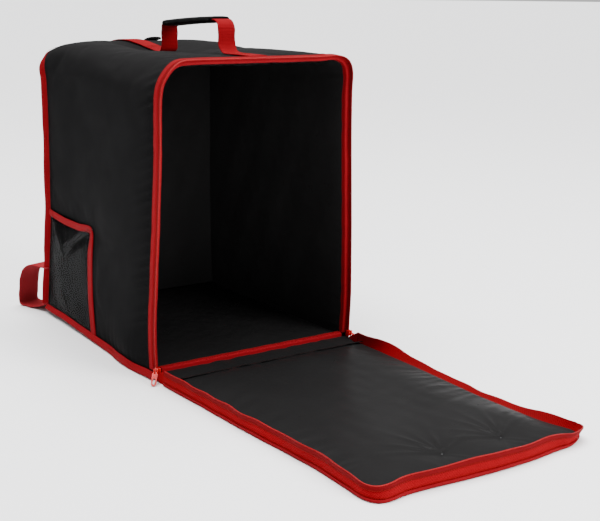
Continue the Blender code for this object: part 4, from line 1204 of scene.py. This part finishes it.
FOLD_LINE = (
    (-0.2600, 0.0132), (-0.2570, 0.0126), (-0.2535, 0.0112), (-0.2500, 0.0090), (-0.2470, 0.0068),
    (-0.2445, 0.0052), (-0.2420, 0.0046), (-0.2395, 0.0050), (-0.2360, 0.0060), (-0.2320, 0.0070),
    (-0.2280, 0.0078), (-0.2240, 0.0084), (-0.2205, 0.0090), (-0.2170, 0.0094), (-0.2140, 0.0097),
    (-0.2118, 0.0098))


def make_fold():
    """The liner across the fold, and a bellows of band cloth at each end of it."""
    half = HALF - 0.0024
    y, z = np.array(FOLD_LINE).T
    x = np.linspace(-half + FRONT_LEFT(0), half, 90)
    wave = ripple(101, 0.02, 0.06, 9)
    gx, gy = np.meshgrid(x, y)
    gz = np.tile(z[:, None], (1, len(x))) + 0.0005 * wave(gx + 0.4 * gy)
    top = join(gx, gy, gz)
    bottom = join(gx, gy, gz - 0.0012)
    us, vs = y - y[0], x - x[0]
    piece = slab("fold_liner", top, bottom, us, vs, LINER)
    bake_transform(piece)

    for word, sign in (("left", -1), ("right", 1)):
        share = np.linspace(0, 1, 12)
        rows = np.linspace(0, 1, 9)
        top_edge = 0.0078 + 0.0047 * ease(0.15, 0.35, share) + (BAND_TOP - 0.0147) * ease(0.25, 1.0, share)
        gy = -0.2130 + (FLAP_NEAR - 0.0012 + 0.2130) * share[:, None]
        gz = 0.0006 + (top_edge[:, None] - 0.0006) * rows[None]
        sway = 0.0016 * np.sin(share * math.pi)[:, None] * (0.4 + rows[None])
        gx = sign * (HALF - 0.0006 + sway) + (sign < 0) * (
            FRONT_LEFT(0) + (FLAP_LEFT(FLAP_NEAR) - FRONT_LEFT(0)) * share[:, None])
        outer = join(gx, gy, gz)
        inner = join(gx - sign * 0.0011, gy, gz)
        piece = slab("fold_side_" + word, outer, inner, share * 0.024, rows * 0.022, BAND)
        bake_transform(piece)


# Pocket

# The line of the sheet's tuck, and each crease's two ends, width and height
TUCK = ((0.010, 0.199), (0.030, 0.189), (0.150, 0.136), (0.204, 0.196), (0.222, 0.200))
TUCK_SLOPE = 0.13
CREASES = (
    ((0.196, 0.196), (0.203, 0.040), 0.0028, 0.0026), ((0.206, 0.190), (0.138, 0.118), 0.0034, 0.0024),
    ((0.046, 0.176), (0.142, 0.118), 0.0036, 0.0024), ((0.190, 0.196), (0.152, 0.140), 0.0030, 0.0016),
    ((0.212, 0.100), (0.186, 0.018), 0.0026, 0.0018), ((0.150, 0.060), (0.120, 0.018), 0.0050, 0.0012))


def pocket_surface(y, z, stand):
    """Points over the left side panel, by how far they stand off."""
    x = -(HALF + side_bulge(y, z) + stand)
    forward = 0.012 * ease(0.14, 0.02, z) * ease(0.16, 0.03, y)
    return join(x, y - forward, z)


def make_pocket():
    """The clear sheet with its creases, and the binding along its top and front edges."""
    y, z = np.meshgrid(np.linspace(POCKET_FRONT + 0.002, SHELL_BACK - 0.002, 84),
                       np.linspace(POCKET_LOW - 0.001, POCKET_HIGH - 0.002, 80))
    share_y = (y - y.min()) / (y.max() - y.min())
    share_z = (z - z.min()) / (z.max() - z.min())
    edge = np.sin(math.pi * np.clip(share_y, 0, 1)) ** 0.5 * np.clip(share_z * 6, 0, 1) ** 0.5
    wave, small = field(111, 0.07, 0.16, 7), field(112, 0.025, 0.05, 8)
    fold = np.interp(y, *zip(*TUCK)) + 0.0015 * wave(y * 2, y)
    stand = 0.0006 + edge * (0.0044 + 0.0004 * wave(y, z) + 0.00010 * small(y, z))
    stand = stand - TUCK_SLOPE * past(z - fold) - 0.016 * past(fold - z)
    for (ay, az), (by, bz), wide, tall in CREASES:
        along_y, along_z = by - ay, bz - az
        size = math.hypot(along_y, along_z)
        where = ((y - ay) * along_y + (z - az) * along_z) / size ** 2
        off = ((y - ay) * along_z - (z - az) * along_y) / size
        held = ease(-0.08, 0.10, where) * ease(1.08, 0.85, where)
        stand = stand + tall * edge * held * np.exp(-(off / wide) ** 2)
    stand = np.maximum(stand, 0.0005)
    outer = pocket_surface(y, z, stand)
    inner = pocket_surface(y, z, stand - 0.0004)
    us, vs = z[:, 0] - z[0, 0], y[0] - y[0, 0]
    sheet = slab("pocket_sheet", outer, inner, us, vs, CLEAR, soften)
    wear(sheet, "bag", "pocket_window")

    radius = 0.016
    skin_y, skin_z = POCKET_FRONT, POCKET_HIGH
    rise = np.arange(POCKET_LOW, skin_z - radius, 0.004)
    turn = np.linspace(0, math.pi / 2, 7)
    run = np.arange(skin_y + radius + 0.004, SHELL_BACK, 0.004)
    y = np.concatenate([np.full(len(rise), skin_y), skin_y + radius * (1 - np.cos(turn)),
                        run, [SHELL_BACK]])
    z = np.concatenate([rise, skin_z - radius * (1 - np.sin(turn)), np.full(len(run) + 1, skin_z)])
    inward = np.concatenate([np.tile((1.0, 0.0), (len(rise), 1)),
                             join(np.cos(turn), -np.sin(turn)), np.tile((0.0, -1.0), (len(run) + 1, 1))])
    s = np.concatenate([[0], np.cumsum(np.hypot(np.diff(y), np.diff(z)))])
    width = 0.0120 + 0.0080 * ease(POCKET_HIGH - 0.012, POCKET_HIGH - 0.05, z) * (y < skin_y + 0.001)
    across = np.linspace(0, 1, 9)
    gy = y[:, None] + inward[:, :1] * width[:, None] * across[None]
    gz = z[:, None] + inward[:, 1:] * width[:, None] * across[None]
    dip = ripple(115, 0.05, 0.12)
    on_top = ease(skin_y + 0.02, skin_y + 0.06, y)[:, None]
    gz = gz - on_top * 0.0035 * np.sin(math.pi * np.clip((y[:, None] - skin_y) / 0.2, 0, 1))
    over = 0.0006 + 0.0034 * np.sin(math.pi * np.clip((y[:, None] - skin_y) / 0.2, 0, 1)) ** 0.5 * on_top
    over = over + 0.0003 * dip(s)[:, None]
    crest = 0.0011 * np.sqrt(np.clip(1 - (2 * across - 1) ** 6, 0, 1))[None]
    groove = 0.0004 * np.exp(-((across - 0.5) / 0.12) ** 2)[None]
    outer = pocket_surface(gy, gz, over + 0.0009 + crest - groove)
    inner = pocket_surface(gy, gz, over - 0.0002)
    tape = slab("pocket_tape", outer, inner, s, across * 0.012, BINDING, soften)
    wear(tape, "bag", "pocket_binding")
    line = outer[:, 6]
    normal = np.tile((-1.0, 0.0, 0.0), (len(line), 1))
    sew("pocket_thread", line, normal, RED_THREAD, "bag", soften)


# Straps, handle, loops and tab

STRAP_THICK = 0.0019
WEB_PITCH = 0.0024
WEB_RIDGE = 0.00012
SCALLOP = 0.00035


def web_section(half_width, thickness):
    """A webbing's cross-section: flat, with rounded selvedges and faint long ribs."""
    line = flat_line(-half_width, half_width, 19)

    def ribs(share):
        return 1 + WEB_RIDGE / thickness * 2 * np.cos(share * 14 * math.pi)
    return tape_outline(line, thickness, ribs)


def along_path(points, step):
    """A rounded polyline's points at even distances, with its headings."""
    points = np.asarray(points, float)
    length = lengths(points)
    s = np.linspace(0, length[-1], max(2, int(round(length[-1] / step)) + 1))
    even = np.stack([np.interp(s, length, points[:, axis]) for axis in range(3)], 1)
    for _ in range(6):
        even[1:-1] = 0.5 * even[1:-1] + 0.25 * (even[:-2] + even[2:])
    return even, unit(np.gradient(even, axis=0))


def selvedge(section, rows, seed, step):
    """Scalloped edges: each section is a little wider or narrower than the last."""
    wave = ripple(seed, 0.02, 0.05)
    s = np.arange(rows) * step
    grow = SCALLOP * (np.sin(2 * math.pi * s / WEB_PITCH) + 0.6 * wave(s))
    half = np.abs(section[:, 0]).max()
    sections = np.repeat(section[None], rows, axis=0)
    sections[..., 0] += grow[:, None] * section[None, :, 0] / half
    return sections


def webbing(name, points, side, half_width, thickness, seed, material=WEBBING, tucked=False):
    """A webbing along a line of points; tucked tapers its last end under another piece."""
    step = 0.0022
    path, heading = along_path(points, step)
    side = unit(np.broadcast_to(np.asarray(side, float), path.shape))
    lift = unit(np.cross(heading, side))
    sections = selvedge(web_section(half_width, thickness), len(path), seed, step)
    if tucked:
        sections[-2:] *= (0.97, 0.72)
    return sweep(name, path, side, lift, sections, material)


def top_line(y, stand, x=0.0):
    """Points over the bag's top, by how far they stand off it."""
    y = np.asarray(y, float)
    return join(x, y, TOP + crown(x, y) - sag(x, y) + stand)


def sewn_box(name, centre, along, across, out, length, width, body):
    """A sewn box with a cross in it, as webbing is fastened."""
    centre, along, across, out = (np.asarray(v, float) for v in (centre, along, across, out))
    corners = [centre + along * length * a + across * width * b
               for a, b in ((-0.5, -0.5), (0.5, -0.5), (0.5, 0.5), (-0.5, 0.5))]
    order = (0, 1, 2, 3, 0, 2)
    legs = [np.linspace(corners[a], corners[b], 12) for a, b in zip(order, order[1:])]
    legs.append(np.linspace(corners[1], corners[3], 12))
    for index, leg in enumerate(legs):
        sew(f"{name}_{index}", leg, np.tile(out, (len(leg), 1)), RED_THREAD, body,
            pitch=0.0028)


def strap_slant(y):
    """How far the rear strap runs to the left on its way back."""
    return -0.040 * ease(LEG_REAR + 0.02, SHELL_BACK, y)


def make_handle():
    """The two straps that rise into the handle's legs, the handle's webbing, its grip and sewn boxes."""
    y = np.linspace(SHELL_BACK - 0.001, LEG_REAR + 0.014, 40)
    loose = np.sin(math.pi * np.linspace(0, 1, 40)) ** 2
    line = top_line(y, 0.0014 + 0.0018 * loose, HANDLE_X + strap_slant(y))
    radius = 0.010
    foot = line[-1, 2]
    turn = np.linspace(0, math.pi / 2, 8)[1:]
    bend = [(HANDLE_X, LEG_REAR + radius * (1 - math.sin(a)), foot + radius * (1 - math.cos(a)))
            for a in turn]
    rise = [(HANDLE_X, LEG_REAR, z) for z in np.linspace(foot + radius + 0.002, HIGH_PIVOT - 0.0005, 10)]
    strap = webbing("rear_strap", np.concatenate([line, bend, rise]), (1, 0, 0), STRAP_HALF, STRAP_THICK, 121)
    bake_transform(strap)
    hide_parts("strap_rear", "handle_leg_rear")

    y = np.linspace(BINDING_FRONT + BINDING_WIDTH - 0.004, LEG_FRONT - 0.020, 26)
    line = top_line(y, 0.0018, HANDLE_X)
    foot = line[-1, 2]
    bend = [(HANDLE_X, LEG_FRONT - 0.018 + 0.018 * math.sin(a), foot + 0.0002 + 0.018 * (1 - math.cos(a)))
            for a in np.linspace(0, math.pi / 2, 10)[1:]]
    rise = [(HANDLE_X, LEG_FRONT, z) for z in np.linspace(foot + 0.0200, HIGH_PIVOT + 0.0030, 8)]
    strap = webbing("front_strap", np.concatenate([line, bend, rise]), (1, 0, 0), STRAP_HALF, STRAP_THICK,
                    123, tucked=True)
    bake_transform(strap)
    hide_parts("strap_front", "handle_leg_front")

    rise_share = 0.0100
    slope = math.atan2(rise_share, LEG_REAR - LEG_FRONT - 0.021)
    rear_turn, front_turn = 0.005, 0.016
    start = HIGH_PIVOT - 0.0003
    moves = [(LEG_REAR, start), (LEG_REAR, start + 0.0015)]
    for a in np.linspace(0, math.pi / 2 - slope, 8)[1:]:
        moves.append((LEG_REAR - rear_turn * (1 - math.cos(a)), start + 0.0015 + rear_turn * math.sin(a)))
    front_angle = math.pi / 2 + slope
    rear_reach = rear_turn * (1 - math.cos(math.pi / 2 - slope))
    front_reach = front_turn * (1 - math.cos(front_angle))
    straight = (LEG_REAR - LEG_FRONT - rear_reach - front_reach) / math.cos(slope)
    first_y, first_z = moves[-1]
    for share in np.linspace(0, 1, 40)[1:]:
        moves.append((first_y - straight * math.cos(slope) * share,
                      first_z + straight * math.sin(slope) * share))
    last_y, last_z = moves[-1]
    first = math.pi / 2 - slope
    for a in np.linspace(0, front_angle, 16)[1:]:
        moves.append((last_y - front_turn * (math.cos(first) - math.cos(first + a)),
                      last_z + front_turn * (math.sin(first + a) - math.sin(first))))
    moves.append((LEG_FRONT, (moves[-1][1] + HIGH_PIVOT) / 2))
    moves.append((LEG_FRONT, HIGH_PIVOT - 0.0004))
    points = np.array([(HANDLE_X, y, z) for y, z in moves])
    strap = webbing("handle_strap", points, (1, 0, 0), STRAP_HALF, STRAP_THICK, 125)
    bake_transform(strap)
    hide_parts("handle_webbing")
    make_grip(first_y, first_z, last_y, last_z)

    for y, word in ((LEG_REAR + 0.050, "rear"), (LEG_FRONT - 0.044, "front")):
        stand, slant = (0.0041, float(strap_slant(y))) if word == "rear" else (0.0028, 0.0)
        spot = top_line([y], stand, HANDLE_X + slant)[0]
        sewn_box("strap_box_" + word, spot, (0, 1, 0), (1, 0, 0), (0, 0, 1), 0.022, 0.022, "bag")


def make_grip(first_y, first_z, last_y, last_z):
    """A padded sleeve folded round the webbing and closed along its underside."""
    rows = 66
    share = np.linspace(0.004, 0.985, rows)
    path = join(HANDLE_X, first_y + (last_y - first_y) * share,
                first_z + (last_z - first_z) * share + 0.0012 * np.sin(share * math.pi))
    heading = unit(np.gradient(path, axis=0))
    length = abs(last_y - first_y) * (share[-1] - share[0])
    side = np.tile((1.0, 0.0, 0.0), (rows, 1))
    lift = unit(np.cross(heading, side))
    lift = lift * np.sign(lift[:1, 2:])
    angles = np.linspace(0, 2 * math.pi, 36, endpoint=False)
    cosine, sine = np.cos(angles), np.sin(angles)
    oval = join(np.sign(cosine) * np.abs(cosine) ** 0.5 * 0.0194,
                np.sign(sine) * np.abs(sine) ** 0.75 * 0.0052)
    wave = ripple(131, 0.02, 0.05)
    s = np.linspace(0, length, rows)
    end = np.minimum(s, length - s)
    mouth = 0.84 + 0.16 * np.sqrt(np.clip(end / 0.004, 0, 1))
    sections = oval[None] * mouth[:, None, None]
    sections = sections * (1 + 0.03 * wave(s)[:, None, None] * np.array((0.5, 1.0)))
    lap = np.exp(-((angles - math.pi * 1.62) / 0.10) ** 2)
    sections[..., 1] -= 0.0008 * lap[None]
    grip = sweep("grip_sleeve", path, side, lift, sections, GRIP)
    wear(grip, "handle_top", "handle_grip")
    for sign in (-1, 1):
        row = path[3:-3] + side[3:-3] * sign * 0.0160 + lift[3:-3] * 0.0043
        normal = unit(side[3:-3] * sign * 0.4 + lift[3:-3])
        sew("grip_thread_" + ("right" if sign > 0 else "left"), row, normal, BLACK_THREAD,
            "handle_top")


def make_loops():
    """Two webbing loops behind the bag, each splayed outward from its seam."""
    yaw = math.radians(17)
    for index, (word, sign) in enumerate((("left", -1), ("right", 1))):
        x = sign * 0.157
        line = [(0.0040, 0.0840), (0.022, 0.0842), (0.036, 0.0836)]
        centre, height, radius = 0.048, 0.048, 0.036
        line += [(centre + radius * math.sin(a), height + radius * math.cos(a))
                 for a in np.linspace(0.10, math.pi / 2, 10)]
        line += [(0.0848, 0.030), (0.0850, 0.012)]
        line += [(0.0790 + 0.006 * math.cos(a), 0.0080 - 0.006 * math.sin(a))
                 for a in np.linspace(0, math.pi / 2, 7)]
        line += [(0.050, 0.0026), (0.025, 0.0090), (0.0060, 0.0185)]
        line = [(r + (0.0035 - 0.085 * (z - 0.006)) * min(1, r / 0.05), z) for r, z in line]
        points = [(x + sign * math.sin(yaw) * r, BACK + math.cos(yaw) * r, z) for r, z in line]
        side = (math.cos(yaw), -sign * math.sin(yaw), 0)
        # The loops wear the lighter painted-light copy of the webbing.
        loop = webbing("loop_" + word, points, side, 0.0225, 0.0021, 140 + index, material=LIT_COPY_LOOP_WEBBING)
        wear(loop, "bag", "rear_loop_" + word)
        spot = (x + sign * math.sin(yaw) * 0.012, BACK + math.cos(yaw) * 0.012, 0.0853)
        sewn_box("loop_box_" + word, spot, (sign * math.sin(yaw), math.cos(yaw), 0), side, (0, 0, 1), 0.010,
                 0.030, "bag")


def make_tab():
    """The short black tab at the back edge of the top."""
    low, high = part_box("rear_tab")
    x0, x1 = low.x - 0.015, high.x - 0.015
    share = np.linspace(0, 1, 24)
    y = low.y + (SHELL_BACK - low.y) * share
    middle = (x0 + x1) / 2
    z = TOP + crown(middle, y) + 0.0035
    path = join(middle, y, z)
    section = tape_outline(flat_line(-(x1 - x0) / 2, (x1 - x0) / 2, 13, 0.0012), 0.0048)
    grow = 0.72 + 0.28 * ease(0, 0.16, share)
    sections = section[None] * join(grow, 0.35 + 0.65 * ease(0, 0.1, share))[:, None]
    heading = unit(np.gradient(path, axis=0))
    side = np.tile((1.0, 0.0, 0.0), (len(y), 1))
    tab = sweep("top_tab", path, side, unit(np.cross(side, heading)), sections, GRIP)
    wear(tab, "bag", "rear_tab")


make_wrap()
make_back()
make_base()
make_front_binding()
make_back_binding()
make_base_binding()
make_body_zipper()
make_sliders()
make_flap()
make_fold()
make_pocket()
make_handle()
make_loops()
make_tab()


# Floor, light and camera

def make_floor():
    """A pale floor that reaches past the horizon."""
    mesh = bpy.data.meshes.new("floor")
    size, low = 300.0, -0.0003
    corners = [(-size, -size, low), (size, -size, low), (size, size, low), (-size, size, low)]
    mesh.from_pydata(corners, [], [(0, 1, 2, 3)])
    shade = Shade("pale_floor", Roughness=0.55, Specular_IOR_Level=0.2)
    shade.shader.inputs["Base Color"].default_value = (0.90, 0.90, 0.91, 1)
    mesh.materials.append(shade.material)
    put("floor", mesh)


def lamp(name, kind, power, place, target, **settings):
    data = bpy.data.lights.new(name, kind)
    data.energy = power
    for key, value in settings.items():
        setattr(data, key, value)
    light = put(name, data)
    light.location = place
    light.rotation_euler = (Vector(target) - Vector(place)).to_track_quat("-Z", "Y").to_euler()


def make_light():
    world = bpy.data.worlds.new("studio")
    world.use_nodes = True
    world.node_tree.nodes["Background"].inputs[0].default_value = (1.0, 1.0, 1.0, 1)
    world.node_tree.nodes["Background"].inputs[1].default_value = 0.6
    bpy.context.scene.world = world
    lamp("key", "AREA", 122, (1.25, -2.7, 1.7), (0, -0.2, 0.1), shape="SQUARE", size=1.4)
    lamp("top", "AREA", 40, (0.5, 0.6, 2.9), (0, -0.1, 0.2), shape="SQUARE", size=1.8)
    lamp("mouth", "SPOT", 170, (-1.0, -2.2, 0.5), (0.08, 0.0, 0.25), spot_size=math.radians(13),
         spot_blend=0.9, shadow_soft_size=0.12)
    lamp("sky", "SUN", 7.0, (0, 0, 0), (0.06, -0.16, -1.0), angle=math.radians(60))


PHOTO_WIDTH = 600
PHOTO_HEIGHT = 521
SENSOR = 36


def make_camera():
    """The photograph's own view, from the camera that was fitted to it."""
    azimuth, elevation, roll = (math.radians(v) for v in (-34.192911, 11.077076, 0.581933))
    focal, centre_x, centre_y = 1112.398, 275.421, 214.773
    back = Vector((math.sin(azimuth) * math.cos(elevation), -math.cos(azimuth) * math.cos(elevation),
                   math.sin(elevation)))
    right = Vector((0, 0, 1)).cross(back).normalized()
    up = back.cross(right)
    turned = right * math.cos(roll) + up * math.sin(roll)
    upright = -right * math.sin(roll) + up * math.cos(roll)
    data = bpy.data.cameras.new("camera")
    data.sensor_width = SENSOR
    data.lens = focal / PHOTO_WIDTH * SENSOR
    data.shift_x = (PHOTO_WIDTH / 2 - centre_x) / PHOTO_WIDTH
    data.shift_y = (centre_y - PHOTO_HEIGHT / 2) / PHOTO_WIDTH
    camera = put("camera", data)
    camera.matrix_world = Matrix.Translation((-0.946568, -1.655052, 0.576696)) @ Matrix(
        (turned, upright, back)).transposed().to_4x4()
    bpy.context.scene.camera = camera


make_floor()
make_light()
make_camera()
